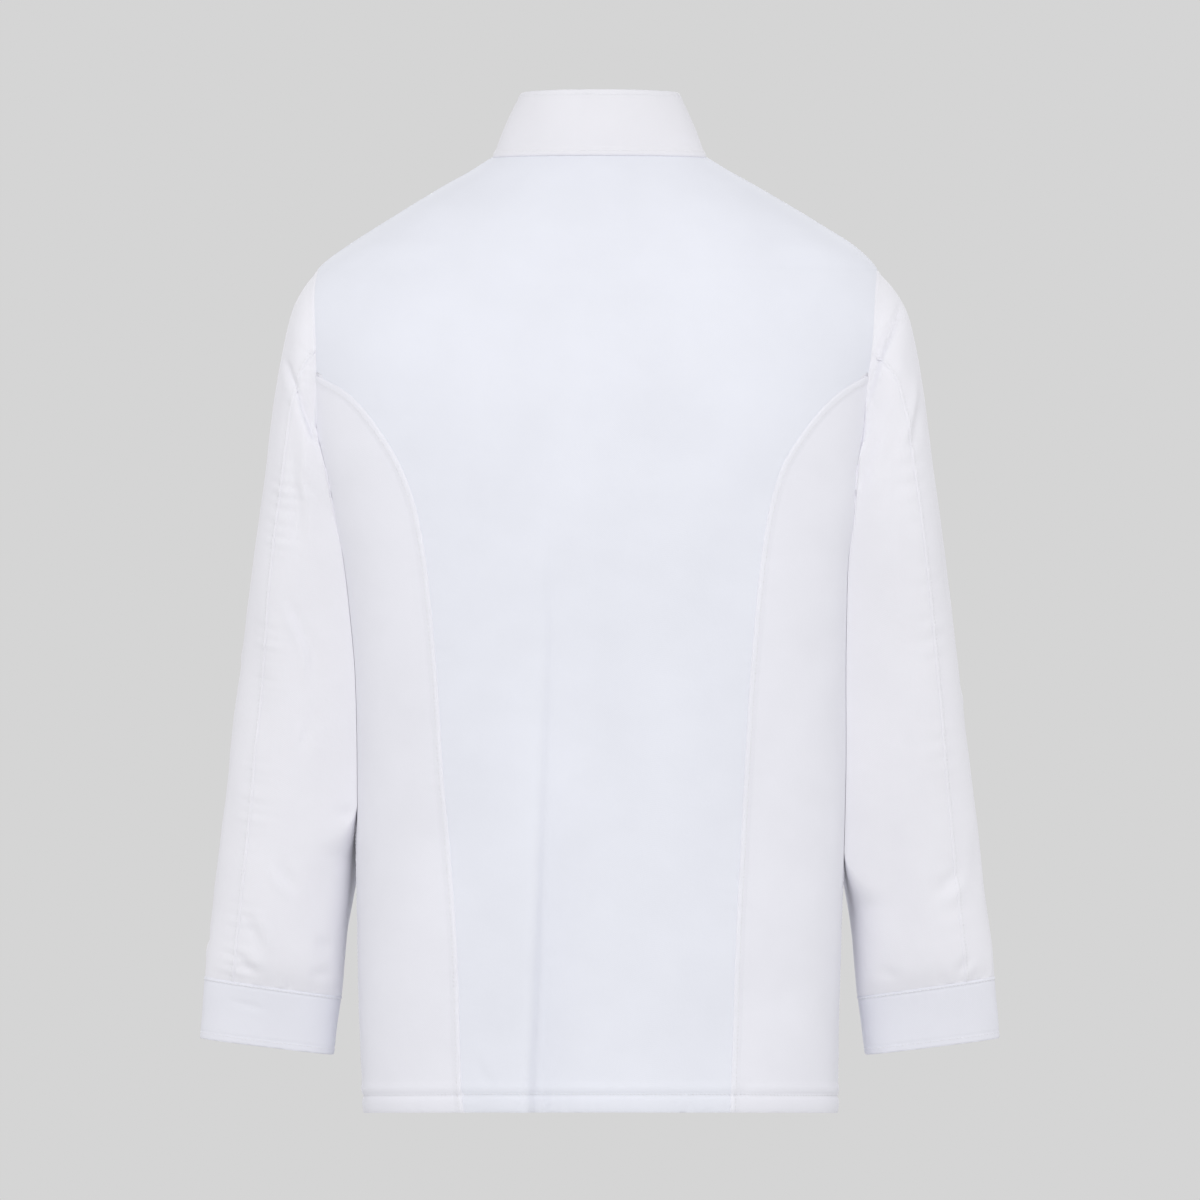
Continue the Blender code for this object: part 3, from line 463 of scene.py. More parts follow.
def ring_point(rings, side, angle, station, folded):
    places = np.arange(len(rings))
    outer_x, outer_z, inner_z, gap, middle_y, half_depth, square = (
        smooth(station, places, column(rings, name)) for name in Ring._fields
    )
    inner_x = body_width(inner_z, side) + gap
    out, back = np.cos(angle), np.sin(angle)
    folded_from, hug = 1.0, 0.0
    if rings is SLEEVE_RINGS:
        start, hugging = HUG_STARTS
        all_ends = zip(FRONT_HUG_ENDS, HUG_ENDS[side])
        leaving, end = (np.interp(back, FRONT_TO_BACK, ends) for ends in all_ends)
        folded_from = ease((station - start) / (hugging - start))
        hug = folded_from * (1 - ease((station - leaving) / (end - leaving)))
    corner = np.interp(back, FRONT_TO_BACK, (FRONT_CORNER_SQUARE, CORNER_SQUARE))
    corner = LOOSE_CORNER_SQUARE + (corner - LOOSE_CORNER_SQUARE) * hug
    square = square + (corner - square) * folded_from * ease(-out / CORNER_TURNS)
    size = (np.abs(out) ** square + np.abs(back) ** square) ** (-1 / square)
    out, back = out * size, back * size
    x = (outer_x + inner_x) / 2 + (outer_x - inner_x) / 2 * out
    z = (outer_z + inner_z) / 2 + (outer_z - inner_z) / 2 * out
    y = middle_y + half_depth * back
    pulled_from = np.interp(back, FRONT_TO_BACK, PULL_STARTS)
    clear = np.maximum(x - np.minimum(gap, TOUCH) - outline_x(y, z, side), 0)
    x = x - clear * hug * ease((-out - pulled_from) / PULL_TURNS)
    if folded:
        part = f"sleeve_{SIDE_NAMES[side]}"
        y = y + ease(back / FACING_SHARE) * relief(part, BACK, side * x, z)
        y = y - ease(-back / FACING_SHARE) * relief(part, FRONT, side * x, z)
    return np.stack([side * x, y, z], axis=-1)


def sleeve_point(side, turn, station, folded=True):
    turn, station = np.broadcast_arrays(turn, station)
    ring = ring_point(SLEEVE_RINGS, side, ring_angle(turn, station), station, folded)
    first = ring_point(SLEEVE_RINGS, side, 2 * math.pi * turn, np.zeros(turn.shape), False)
    low = ease(-np.cos(2 * math.pi * turn) / UNDERARM_TURNS)
    shape_ends = ARMHOLE_SHAPE_ENDS + (UNDERARM_SHAPE_ENDS - ARMHOLE_SHAPE_ENDS) * low
    armhole_share = 1 - ease(station / shape_ends)
    return ring + armhole_share[..., None] * (armhole_point(side, turn) - first)


def cuff_point(side, turn, station, folded=True):
    turn, station = np.broadcast_arrays(turn, station)
    return ring_point(CUFF_RINGS, side, ring_angle(turn, SEAMS_SETTLE), station, folded)


# Fine detail: creases, ripples and what the seams do to the cloth beside them

# Where creases run, by part and face: (width, bulge, points). A point is (across, height, depth in
# millimetres). across is x on the back and the front, and y on the outside and the inside of an arm.
# bulge is the side on which cloth is pushed up: 1 to the right of the line as it runs, -1 to the left.
Crease = namedtuple("Crease", "width bulge points")


def seen(*points):
    """A crease's points from their pixels in the photograph, (px, py, depth in millimetres)."""
    return [((MIDDLE_PX - px) * PIXEL, (NECK_PX - py) * PIXEL, depth) for px, py, depth in points]


CREASES = {
    ("sleeve_left", BACK): [
        Crease(0.006, -1, seen((292, 418, 0), (295, 470, 2.4), (298, 520, 1.8), (299, 562, 0))),
        Crease(0.0035, 1, seen((306, 466, 0), (309, 483, 1.2), (314, 500, 0))),
        Crease(0.004, 1, seen((290, 596, 0), (300, 622, 1.4), (312, 652, 1.7), (316, 690, 0))),
        Crease(0.0034, -1, seen((317, 700, 0), (314, 717, 1.3), (307, 738, 1.2), (305, 752, 0))),
        Crease(0.01, 0, seen((249, 580, 0), (254, 640, 1.5), (260, 700, 1.6), (264, 752, 0))),
        Crease(0.009, 0, seen((230, 775, 0), (229, 830, 1.3), (229, 900, 0))),
        Crease(0.005, 1, seen((276, 858, 0), (287, 877, 1.3), (301, 894, 0))),
        Crease(0.005, -1, seen((245, 912, 0), (254, 934, 1.8), (264, 957, 0))),
        Crease(0.0045, -1, seen((233, 957, 0), (246, 967, 2.0), (262, 977, 0))),
        Crease(0.006, 0, seen((316, 938, 0), (324, 946, 1.6), (330, 958, 0))),
        Crease(0.005, 0, seen((308, 974, 0), (322, 974, 1.4), (337, 972, 0))),
        Crease(0.005, 0, seen((354, 806, 0), (347, 813, 1.6), (338, 819, 0))),
        Crease(0.012, 0, seen((322, 840, 0), (318, 900, 1.2), (310, 950, 0))),
        Crease(0.0034, 0, seen((280, 353, 2.6), (291, 377, 4.0), (303, 401, 4.0), (317, 436, 2.6))),
    ],
    ("sleeve_right", BACK): [
        Crease(0.0034, 0, seen((908, 298, 2.6), (893, 324, 4.0), (879, 352, 4.0), (865, 398, 2.4))),
        Crease(0.0045, 1, seen((926, 380, 1.4), (919, 415, 2.6), (910, 456, 0))),
        Crease(0.005, -1, seen((874, 430, 0), (868, 450, 1.5), (861, 480, 1.6), (856, 510, 0))),
        Crease(0.011, 0, seen((905, 500, 0), (908, 570, 1.3), (914, 650, 1.2), (920, 700, 0))),
        Crease(0.006, -1, seen((962, 862, 0), (948, 882, 1.8), (932, 901, 0))),
        Crease(0.007, 0, seen((981, 822, 0), (979, 860, 1.6), (975, 914, 0))),
        Crease(0.004, -1, seen((969, 955, 0), (964, 966, 1.6), (956, 976, 0))),
        Crease(0.012, 0, seen((884, 760, 0), (890, 850, 1.3), (896, 950, 0))),
        Crease(0.0055, 0, seen((876, 966, 0), (888, 974, 1.4), (904, 978, 0))),
    ],
    ("body", BACK): [
        Crease(0.005, 0, seen((474, 1050, 0), (484, 1068, 0.8), (495, 1086, 0))),
        Crease(0.012, 0, seen((824, 975, 0), (790, 990, 0.9), (742, 1012, 0))),
        Crease(0.005, 0, seen((752, 1075, 0), (744, 1083, 0.9), (737, 1089, 0))),
    ],
    ("collar", BACK): [
        Crease(0.008, 0, seen((503, 151, 0), (522, 139, 0.7), (547, 126, 0))),
    ],
    ("cuff_left", BACK): [
        Crease(0.003, 0, seen((224, 1000, 0), (247, 1006, 0.8), (271, 1011, 0))),
    ],
    ("sleeve_left", FRONT): [
        Crease(0.006, 0, [(0.246, -0.215, 0), (0.243, -0.260, 1.5), (0.240, -0.300, 0)]),
        Crease(0.007, 1, [(0.301, -0.372, 0), (0.280, -0.384, 2.2), (0.240, -0.370, 0)]),
        Crease(0.006, -1, [(0.297, -0.410, 0), (0.276, -0.417, 1.8), (0.254, -0.411, 0)]),
        Crease(0.006, 1, [(0.243, -0.440, 0), (0.262, -0.452, 1.6), (0.285, -0.450, 0)]),
        Crease(0.01, 0, [(0.300, -0.500, 0), (0.301, -0.560, 1.4), (0.299, -0.610, 0)]),
        Crease(0.006, -1, [(0.262, -0.600, 0), (0.275, -0.620, 1.8), (0.292, -0.630, 0)]),
    ],
    ("sleeve_right", FRONT): [
        Crease(0.006, 0, [(-0.243, -0.205, 0), (-0.238, -0.255, 1.6), (-0.236, -0.290, 0)]),
        Crease(0.007, -1, [(-0.300, -0.384, 0), (-0.276, -0.396, 2.0), (-0.238, -0.388, 0)]),
        Crease(0.005, 1, [(-0.295, -0.420, 0), (-0.272, -0.424, 1.6), (-0.252, -0.415, 0)]),
        Crease(0.007, 0, [(-0.248, -0.462, 0), (-0.270, -0.478, 1.7), (-0.296, -0.474, 0)]),
        Crease(0.01, 0, [(-0.292, -0.530, 0), (-0.298, -0.580, 1.3), (-0.297, -0.620, 0)]),
        Crease(0.005, 1, [(-0.268, -0.618, 0), (-0.283, -0.634, 1.7), (-0.300, -0.638, 0)]),
    ],
    ("sleeve_left", OUTSIDE): [
        Crease(0.009, 0, [(0.012, -0.240, 0), (0.004, -0.300, 1.6), (-0.006, -0.350, 0)]),
        Crease(0.007, 1, [(-0.056, -0.400, 0), (-0.034, -0.412, 1.8), (-0.010, -0.407, 0)]),
        Crease(0.01, 0, [(-0.020, -0.470, 0), (-0.034, -0.530, 1.5), (-0.037, -0.580, 0)]),
        Crease(0.006, -1, [(-0.062, -0.602, 0), (-0.046, -0.622, 1.6), (-0.027, -0.630, 0)]),
    ],
    ("sleeve_right", OUTSIDE): [
        Crease(0.009, 0, [(0.020, -0.260, 0), (0.008, -0.325, 1.5), (0.002, -0.370, 0)]),
        Crease(0.006, -1, [(-0.060, -0.416, 0), (-0.038, -0.424, 1.7), (-0.016, -0.416, 0)]),
        Crease(0.01, 0, [(-0.052, -0.500, 0), (-0.047, -0.555, 1.4), (-0.050, -0.600, 0)]),
    ],
    ("sleeve_left", INSIDE): [
        Crease(0.008, 1, [(-0.060, -0.395, 0), (-0.035, -0.408, 1.8), (-0.005, -0.400, 0)]),
        Crease(0.008, 0, [(-0.040, -0.480, 0), (-0.034, -0.540, 1.4), (-0.036, -0.590, 0)]),
    ],
    ("sleeve_right", INSIDE): [
        Crease(0.008, -1, [(-0.058, -0.404, 0), (-0.030, -0.414, 1.7), (-0.002, -0.410, 0)]),
        Crease(0.009, 0, [(-0.048, -0.500, 0), (-0.040, -0.560, 1.3), (-0.044, -0.610, 0)]),
    ],
    ("body", FRONT): [
        Crease(0.012, 0, [(0.152, -0.200, 0), (0.127, -0.238, 1.8), (0.106, -0.285, 0)]),
        Crease(0.012, 0, [(-0.150, -0.193, 0), (-0.128, -0.240, 1.6), (-0.112, -0.292, 0)]),
        Crease(0.01, 1, [(0.168, -0.398, 0), (0.136, -0.415, 1.5), (0.106, -0.409, 0)]),
        Crease(0.01, -1, [(-0.162, -0.458, 0), (-0.132, -0.475, 1.4), (-0.100, -0.467, 0)]),
        Crease(0.016, 0, [(0.030, -0.520, 0), (0.045, -0.620, 1.4), (0.050, -0.745, 0)]),
        Crease(0.011, 0, [(-0.018, -0.400, 0), (-0.040, -0.440, 1.0), (-0.055, -0.490, 0)]),
    ],
}
LINE_SAMPLES = 8  # of a crease's line, between two of its points
FACING = 0.1  # how far cloth has to face a crease's side to be pressed by it
FULLY_FACING = 0.45
CREASE_REACH = 4  # how far a crease is followed, in its own widths
BULGE_AWAY = 1.7  # the pushed-up cloth: its place and width in the same widths, and its height
BULGE_WIDTH = 0.9
BULGE_HEIGHT = 0.7


def crease_line(points):
    """A smooth line through a crease's points, with its depth along it."""
    points = np.array(points, float)
    places = np.arange(len(points))
    at = np.linspace(0, places[-1], LINE_SAMPLES * places[-1] + 1)
    return [smooth(at, places, values) for values in points.T]


def press(crease, across, up):
    """How far a crease presses its cloth in at these places."""
    line_across, line_up, millimetres = crease_line(crease.points)
    here = np.stack([across, up], axis=-1)
    best = np.full(across.shape, np.inf)
    depth, best_side = np.zeros(best.shape), np.zeros(best.shape)
    line = np.stack([line_across, line_up], axis=-1)
    for start, run, first, step in zip(line, np.diff(line, axis=0), millimetres, np.diff(millimetres)):
        share = np.clip((here - start) @ run / (run @ run), 0, 1)
        away = here - start - share[:, None] * run
        distance = np.linalg.norm(away, axis=-1)
        nearer = distance < best
        best = np.where(nearer, distance, best)
        depth = np.where(nearer, (first + step * share) / 1000, depth)
        best_side = np.where(nearer, np.sign(run[0] * away[:, 1] - run[1] * away[:, 0]), best_side)
    pushed_up = BULGE_HEIGHT * bump(best - BULGE_AWAY * crease.width, BULGE_WIDTH * crease.width)
    return depth * (bump(best, crease.width) - pushed_up * (best_side == crease.bulge))


def pressed(part, points, normals):
    """How far this part's creases press its cloth in, at each of its points."""
    depth = np.zeros(points.shape[:-1])
    x, y, z = np.moveaxis(points, -1, 0)
    outwards = np.sign(x) * normals[..., 0]
    facings = {
        BACK: (normals[..., 1], x),
        FRONT: (-normals[..., 1], x),
        OUTSIDE: (outwards, y),
        INSIDE: (-outwards, y),
    }
    for face, (facing, across) in facings.items():
        for crease in CREASES.get((part, face), ()):
            line_across, line_up, _ = crease_line(crease.points)
            near = CREASE_REACH * crease.width
            close = (across > line_across.min() - near) & (across < line_across.max() + near)
            close &= (z > line_up.min() - near) & (z < line_up.max() + near) & (facing > FACING)
            if close.any():
                turned = ease((facing[close] - FACING) / (FULLY_FACING - FACING))
                depth[close] += press(crease, across[close], z[close]) * turned
    return depth


def ripple(points, wavelength, seed):
    """Even waves from several directions, which add to an uneven surface of height about 1."""
    rng = np.random.default_rng(seed)
    height = np.zeros(points.shape[:-1])
    count = 7
    for _ in range(count):
        direction = unit(rng.normal(size=3))
        length = wavelength * rng.uniform(0.7, 1.5)
        height += np.sin(points @ direction * 2 * math.pi / length + rng.uniform(0, 2 * math.pi))
    return height / math.sqrt(count)


def distance_to(points, line):
    """Each point's distance from a line of points, and how far along the line it is nearest."""
    line = resampled(line, LINE_STEP)
    flat = points.reshape(-1, 3)
    near = np.all((flat > line.min(axis=0) - REACH) & (flat < line.max(axis=0) + REACH), axis=1)
    tree = KDTree(len(line))
    for i, point in enumerate(line):
        tree.insert(point, i)
    tree.balance()
    found = [tree.find(point) for point in flat[near]]
    distance, along = np.full(len(flat), 2 * REACH), np.zeros(len(flat))
    distance[near] = [item[2] for item in found]
    along[near] = [item[1] * LINE_STEP for item in found]
    return distance.reshape(points.shape[:-1]), along.reshape(points.shape[:-1])


def resampled(line, step):
    line = np.asarray(line, float)
    lengths = np.concatenate([[0], np.cumsum(np.linalg.norm(np.diff(line, axis=0), axis=-1))])
    at = np.linspace(0, lengths[-1], max(2, round(lengths[-1] / step) + 1))
    return np.stack([np.interp(at, lengths, line[:, i]) for i in range(3)], axis=-1)


# How an edge shapes the cloth beside it, by the distance from it
REACH = 0.060
LINE_STEP = 0.0005
TOPSTITCH = 0.0050  # from a seam to the stitching beside it
NARROW_STITCH = 0.0030
HEM_STITCH = 0.0140
CUFF_STITCH = 0.0026
CUFF_EDGE_STITCH = 0.0060


def rolled_edge(distance, stitch=TOPSTITCH, rise=0.0009):
    """The side of a seam that lies on both allowances: a low step up to its stitching."""
    step = rise * (1 - ease((distance - stitch) / 0.0022)) * ease(distance / 0.0014)
    return step - 0.0003 * bump(distance - stitch, 0.0009)


def narrow_edge(distance):
    return rolled_edge(distance, NARROW_STITCH, 0.0006)


def sunk_edge(distance):
    """The other side of that seam."""
    return -0.0002 * bump(distance, 0.0012)


def flat_edge(distance):
    return 0.0 * distance


def hem_edge(distance):
    """A turned-up hem: its groove along the stitching, with soft ridges above and below it."""
    groove = -0.0012 * bump(distance - HEM_STITCH, 0.0017)
    above = 0.0009 * bump(distance - 0.0190, 0.0034)
    below = 0.0006 * bump(distance - 0.0075, 0.0055)
    return groove + above + below - 0.0005 * bump(distance, 0.002)


def stitched_edge(distance):
    """A free folded edge with a line of stitching beside it."""
    step = 0.0005 * (1 - ease((distance - TOPSTITCH) / 0.002))
    return step - 0.0004 * bump(distance - TOPSTITCH, 0.0009)


def cuff_top_edge(distance):
    return 0.0004 * bump(distance - 0.0010, 0.0010) - 0.0003 * bump(distance - CUFF_STITCH, 0.0006)


def cuff_bottom_edge(distance):
    return -0.0003 * bump(distance - CUFF_EDGE_STITCH, 0.0010)


def puckers(along, distance, spacing, seed):
    """Small uneven gathers across a seam, which fade with the distance from it."""
    rng = np.random.default_rng(seed)
    wave = np.zeros(np.shape(along))
    for _ in range(4):
        length = spacing * rng.uniform(0.6, 1.7)
        wave += np.sin(2 * math.pi * along / length + rng.uniform(0, 2 * math.pi))
    patches = 0.5 + 0.5 * np.sin(2 * math.pi * along / (spacing * 9) + rng.uniform(0, 2 * math.pi))
    return wave / 2 * patches * bump(distance, 1.1 * spacing) * ease(distance / 0.0015)


# Shells


def spread(length, step=STEP, fine_start=True, fine_end=True):
    """Shares from 0 to 1 along a length, closer together at the ends asked for; an even count."""
    at = np.linspace(0, length, SPREAD_COUNT)
    density = np.full(at.shape, 1 / step)
    fine = 1 / FINE_STEP - 1 / step
    if fine_start:
        density += fine * bump(at, FINE_REACH)
    if fine_end:
        density += fine * bump(length - at, FINE_REACH)
    total = np.concatenate([[0], np.cumsum((density[1:] + density[:-1]) / 2 * np.diff(at))])
    count = 2 * math.ceil(total[-1] / 2)
    return np.interp(np.linspace(0, total[-1], count + 1), total, at) / length


SHARP = math.radians(55)
THINNEST = 0.06  # the share of the thickness that a rounded edge keeps
SURFACES = {}  # each shell's outer face, for what lies on it
RIM_PATHS = [
    (-1, 0, ((0, 0), (0, 1), (0, 2))),
    (0, 1, ((0, 2), (1, 2), (2, 2))),
    (1, 0, ((2, 2), (2, 1), (2, 0))),
    (0, -1, ((2, 0), (1, 0), (0, 0))),
]


def numbered(shape, first=0):
    """The numbers of the points of a grid, row by row."""
    return first + np.arange(shape[0] * shape[1]).reshape(shape[:2])


def grid_faces(number):
    return np.stack([number[:-1, :-1], number[:-1, 1:], number[1:, 1:], number[1:, :-1]], axis=-1)


def tube_faces(rings, around):
    """The sides and the two ends of a tube of rings of points."""
    number = numbered((rings, around))
    sides = grid_faces(np.hstack([number, number[:, :1]])).reshape(-1, 4)
    return [*sides.tolist(), number[0, ::-1].tolist(), number[-1].tolist()]


def rim_faces(number, inner_number, present):
    """The faces between the two sides of a shell, round the cells that are present."""
    faces = []
    around = np.pad(present, 1)
    for i, j in np.argwhere(present):
        for di, dj, path in RIM_PATHS:
            if not around[i + 1 + di, j + 1 + dj]:
                on_outer = [number[2 * i + a, 2 * j + b] for a, b in path[::-1]]
                on_inner = [inner_number[i + a // 2, j + b // 2] for a, b in path[::2]]
                faces.append([int(v) for v in on_outer + on_inner])
    return faces


def laid_flat(points):
    """The distance of each point of a grid from its middle column and its first row."""
    rows, columns = points.shape[:2]
    across, down = (np.linalg.norm(np.diff(points, axis=axis), axis=-1) for axis in (1, 0))
    u = np.hstack([np.zeros((rows, 1)), np.cumsum(across, axis=1)])
    v = np.vstack([np.zeros((1, columns)), np.cumsum(down, axis=0)])
    return np.stack([u - u[:, columns // 2, None], v], axis=-1)


def shell(name, points, normals, rounded, thickness, material, present=None):
    """A closed wall that lies in from a grid of points. Its inner face has every other point.
    rounded gives each point's share of the thickness, which falls to 0 at a rounded edge."""
    middle = points - normals * thickness / 2
    half = (thickness / 2 * np.maximum(rounded, THINNEST))[..., None] * normals
    outer, inner = middle + half, (middle - half)[::2, ::2]
    number = numbered(outer.shape)
    inner_number = numbered(inner.shape, number.size)
    if present is None:
        present = np.ones((inner.shape[0] - 1, inner.shape[1] - 1), bool)
    fine_present = np.repeat(np.repeat(present, 2, axis=0), 2, axis=1)
    outer_faces = grid_faces(number)[fine_present].tolist()
    inner_faces = grid_faces(inner_number)[present][:, ::-1].tolist()
    faces = outer_faces + inner_faces + rim_faces(number, inner_number, present)
    cell_normals = np.cross(np.diff(points, axis=1)[:-1], np.diff(points, axis=0)[:, :-1])
    if np.sum(cell_normals * normals[:-1, :-1]) < 0:
        faces, outer_faces = ([face[::-1] for face in some] for some in (faces, outer_faces))
    flat = laid_flat(points)
    vertices = np.vstack([outer.reshape(-1, 3), inner.reshape(-1, 3)])
    flat = np.vstack([flat.reshape(-1, 2), flat[::2, ::2].reshape(-1, 2)])
    made = mesh_object(name, vertices, faces, material, flat)
    made.data.set_sharp_from_angle(angle=SHARP)
    SURFACES[name] = BVHTree.FromPolygons(outer.reshape(-1, 3).tolist(), outer_faces)
    return made


def mesh_object(name, vertices, faces, material, flat=None):
    used = np.unique(np.concatenate([np.asarray(face) for face in faces]))
    place = np.full(len(vertices), -1)
    place[used] = np.arange(len(used))
    faces = [place[face].tolist() for face in faces]
    mesh = bpy.data.meshes.new(name)
    mesh.from_pydata(vertices[used].tolist(), [], faces)
    if flat is not None:
        corners = np.array([v for face in faces for v in face])
        layer = mesh.uv_layers.new(name="cloth")
        layer.data.foreach_set("uv", flat[used][corners].ravel())
    mesh.polygons.foreach_set("use_smooth", np.ones(len(mesh.polygons), bool))
    mesh.materials.append(material)
    mesh.update()
    made = bpy.data.objects.new(name, mesh)
    bpy.context.scene.collection.objects.link(made)
    return made


def rounding(distance, radius):
    """The share of the thickness left at this distance from a rounded edge."""
    inside = np.clip(1 - distance / radius, 0, 1)
    return np.sqrt(1 - inside**2)


# What an edge of a panel does: the name of its line, how it shapes the cloth, its gathers, whether
# the piece beyond it lies at another angle, and the radius that its end is rounded to.
Edge = namedtuple("Edge", "line profile pucker spacing turns round", defaults=(0.0, 0.01, False, 0.0))
HEM_ROUND = 0.0012
BAND_ROUND = 0.0014
CALM = 0.030
SEAM_LINES = {}


# The slow unevenness of cloth that hangs free: height, length and first random number of its waves
HANGING = ((0.0005, 0.11, 3), (0.00012, 0.035, 4))


def undulation(points):
    return sum(height * ripple(points, length, seed) for height, length, seed in HANGING)


def panel(name, part, grid, edges, seed, material, thickness=CLOTH, present=None, lift=0.0):
    """The shell of a panel on a grid of (points, normals), with its waves, creases and edges."""
    points, normals = grid
    calm, rounded, at_edges = (np.ones(points.shape[:2]) for _ in range(3))
    at_edges = at_edges * lift
    for place, edge in enumerate(edges):
        distance, along = distance_to(points, SEAM_LINES[edge.line])
        at_edges += edge.profile(distance)
        if edge.pucker:
            at_edges += edge.pucker * puckers(along, distance, edge.spacing, seed * 10 + place)
        if edge.turns:
            calm = np.minimum(calm, ease(distance / CALM))
        if edge.round:
            rounded = np.minimum(rounded, rounding(distance, edge.round))
    height = calm * undulation(points) - pressed(part, points, normals) + at_edges
    points = points + normals * height[..., None]
    return shell(f"cloth_{name}", points, normals, rounded, thickness, material, present)


# The panels of the body

SHOULDER_LENGTH = 0.168  # this and the next are lengths that set how many rows and columns there are
BELOW_UNDERARM = 0.502
ARMHOLE_ROW_COUNT = 105
BACK_WIDTH = 0.40
SIDE_BACK_WIDTH = 0.115
FRONT_WIDTHS = (0.076, 0.076, 0.17)


def body_rows():
    """Row numbers from the neck to the hem, closest together at the neck seam and at the hem."""
    shoulder = SHOULDER_ROW * spread(SHOULDER_LENGTH, fine_end=False)
    armhole = np.linspace(SHOULDER_ROW, UNDERARM_ROW, ARMHOLE_ROW_COUNT)
    below = UNDERARM_ROW + (HEM_ROW - UNDERARM_ROW) * spread(BELOW_UNDERARM, fine_start=False)
    return np.concatenate([shoulder[:-1], armhole[:-1], below])


ROWS = body_rows()
ROW_HEIGHTS = row_height(ROWS)
FIRST_BELOW_SHOULDER = int(np.argmax(ROWS >= SHOULDER_ROW))


def columns_between(anchors, shares):
    """Columns through each anchor, spaced by each stretch's own shares."""
    parts = [anchors[0][:, None]]
    for first, second, at in zip(anchors[:-1], anchors[1:], shares):
        parts.append(first[:, None] + (second - first)[:, None] * at[None, 1:])
    return np.concatenate(parts, axis=1)


def body_grid(angles, heights):
    return body_point(angles, heights), body_normal(angles, heights)


def lay_out_body_seams():
    shoulder, below = ROW_HEIGHTS[ROWS <= SHOULDER_ROW], ROW_HEIGHTS[ROWS >= UNDERARM_ROW]
    princess = ROW_HEIGHTS[ROWS >= PRINCESS_ROW]
    for side, name in SIDE_NAMES.items():
        SEAM_LINES[f"shoulder_{name}"] = body_point(side * math.pi / 2, shoulder)
        SEAM_LINES[f"side_{name}"] = body_point(side * math.pi / 2, below)
        SEAM_LINES[f"princess_{name}"] = body_point(princess_edge(princess, side), princess)
        SEAM_LINES[f"armhole_{name}"] = armhole_point(side, np.linspace(0, 1, ARMHOLE_COUNT))
    SEAM_LINES["hem"] = body_point(np.linspace(-math.pi, math.pi, HEM_COUNT), HEM_Z)
    SEAM_LINES["neck_back"] = body_point(np.linspace(-math.pi / 2, math.pi / 2, NECK_COUNT), NECK_Z)


HEM = Edge("hem", hem_edge, 0.0002, 0.012, round=HEM_ROUND)


def back_centre(material):
    ends = {}
    for side in SIDE_NAMES:
        armhole, princess = outer_edge(ROW_HEIGHTS, side, False), princess_edge(ROW_HEIGHTS, side)
        ends[side] = np.where(ROWS < PRINCESS_ROW, armhole, princess)
    angles = columns_between([ends[RIGHT], ends[LEFT]], [spread(BACK_WIDTH)])
    edges = [HEM, Edge("neck_back", sunk_edge, turns=True)]
    for name in SIDE_NAMES.values():
        edges.append(Edge(f"princess_{name}", sunk_edge, 0.00012, 0.010))
        edges.append(Edge(f"armhole_{name}", sunk_edge, 0.00012, 0.009, turns=True))
        edges.append(Edge(f"shoulder_{name}", rolled_edge))
    grid = body_grid(angles, ROW_HEIGHTS[:, None])
    return panel("back_centre", "body", grid, edges, SEEDS["back_centre"], material)


def side_back(side, name, material):
    heights = ROW_HEIGHTS[ROWS >= PRINCESS_ROW]
    ends = [princess_edge(heights, side), outer_edge(heights, side, False)]
    grid = body_grid(columns_between(ends, [spread(SIDE_BACK_WIDTH)]), heights[:, None])
    edges = [
        HEM,
        Edge(f"fold_{name}", flat_edge, turns=True),
        Edge(f"princess_{name}", rolled_edge, 0.00015, 0.010),
        Edge(f"armhole_{name}", sunk_edge, 0.00012, 0.009, turns=True),
        Edge(f"side_{name}", rolled_edge, 0.00012, 0.012),
    ]
    return panel(f"side_back_{name}", "body", grid, edges, SEEDS["side_back"] + side, material)


def front_grid(side):
    """(angles, heights, column of the centre front): rows fan from the neckline, then level out."""
    heights = ROW_HEIGHTS
    on_neck = ROWS <= SHOULDER_ROW
    along_neck, places = np.clip(ROWS, 0, SHOULDER_ROW), np.arange(len(NECKLINE))
    neck_x, neck_z = (smooth(along_neck, places, column(NECKLINE, name)) for name in ("x", "z"))
    share = (heights - SHOULDER_Z) / (UNDERARM_Z - SHOULDER_Z)
    centre = NECKLINE[-1].z + (UNDERARM_Z - NECKLINE[-1].z) * share
    inner_heights = np.where(on_neck, neck_z, np.where(ROWS >= UNDERARM_ROW, heights, centre))
    neck_angles = np.abs(angle_at(side * neck_x, neck_z, True))
    inner_angles = np.where(on_neck, neck_angles, math.pi)
    outer_angles = np.abs(outer_edge(heights, side, True))
    edge_x = np.full(len(ROWS), side * OVERLAP)
    near_angles = np.abs(angle_at(edge_x, inner_heights, True))
    far_angles = 2 * math.pi - np.abs(angle_at(-edge_x, inner_heights, True))
    turn = FIRST_BELOW_SHOULDER
    fan = (near_angles - inner_angles)[turn] / (outer_angles - inner_angles)[turn]
    near_angles = np.where(on_neck, inner_angles + (outer_angles - inner_angles) * fan, near_angles)
    near_heights = inner_heights + (heights - inner_heights) * fan
    shares = [spread(width, fine_start=place == 0, fine_end=place == 2)
              for place, width in enumerate(FRONT_WIDTHS)]
    angles = columns_between([far_angles, inner_angles, near_angles, outer_angles], shares)
    all_heights = columns_between([inner_heights, inner_heights, near_heights, heights], shares)
    return side * angles, all_heights, len(shares[0]) - 1


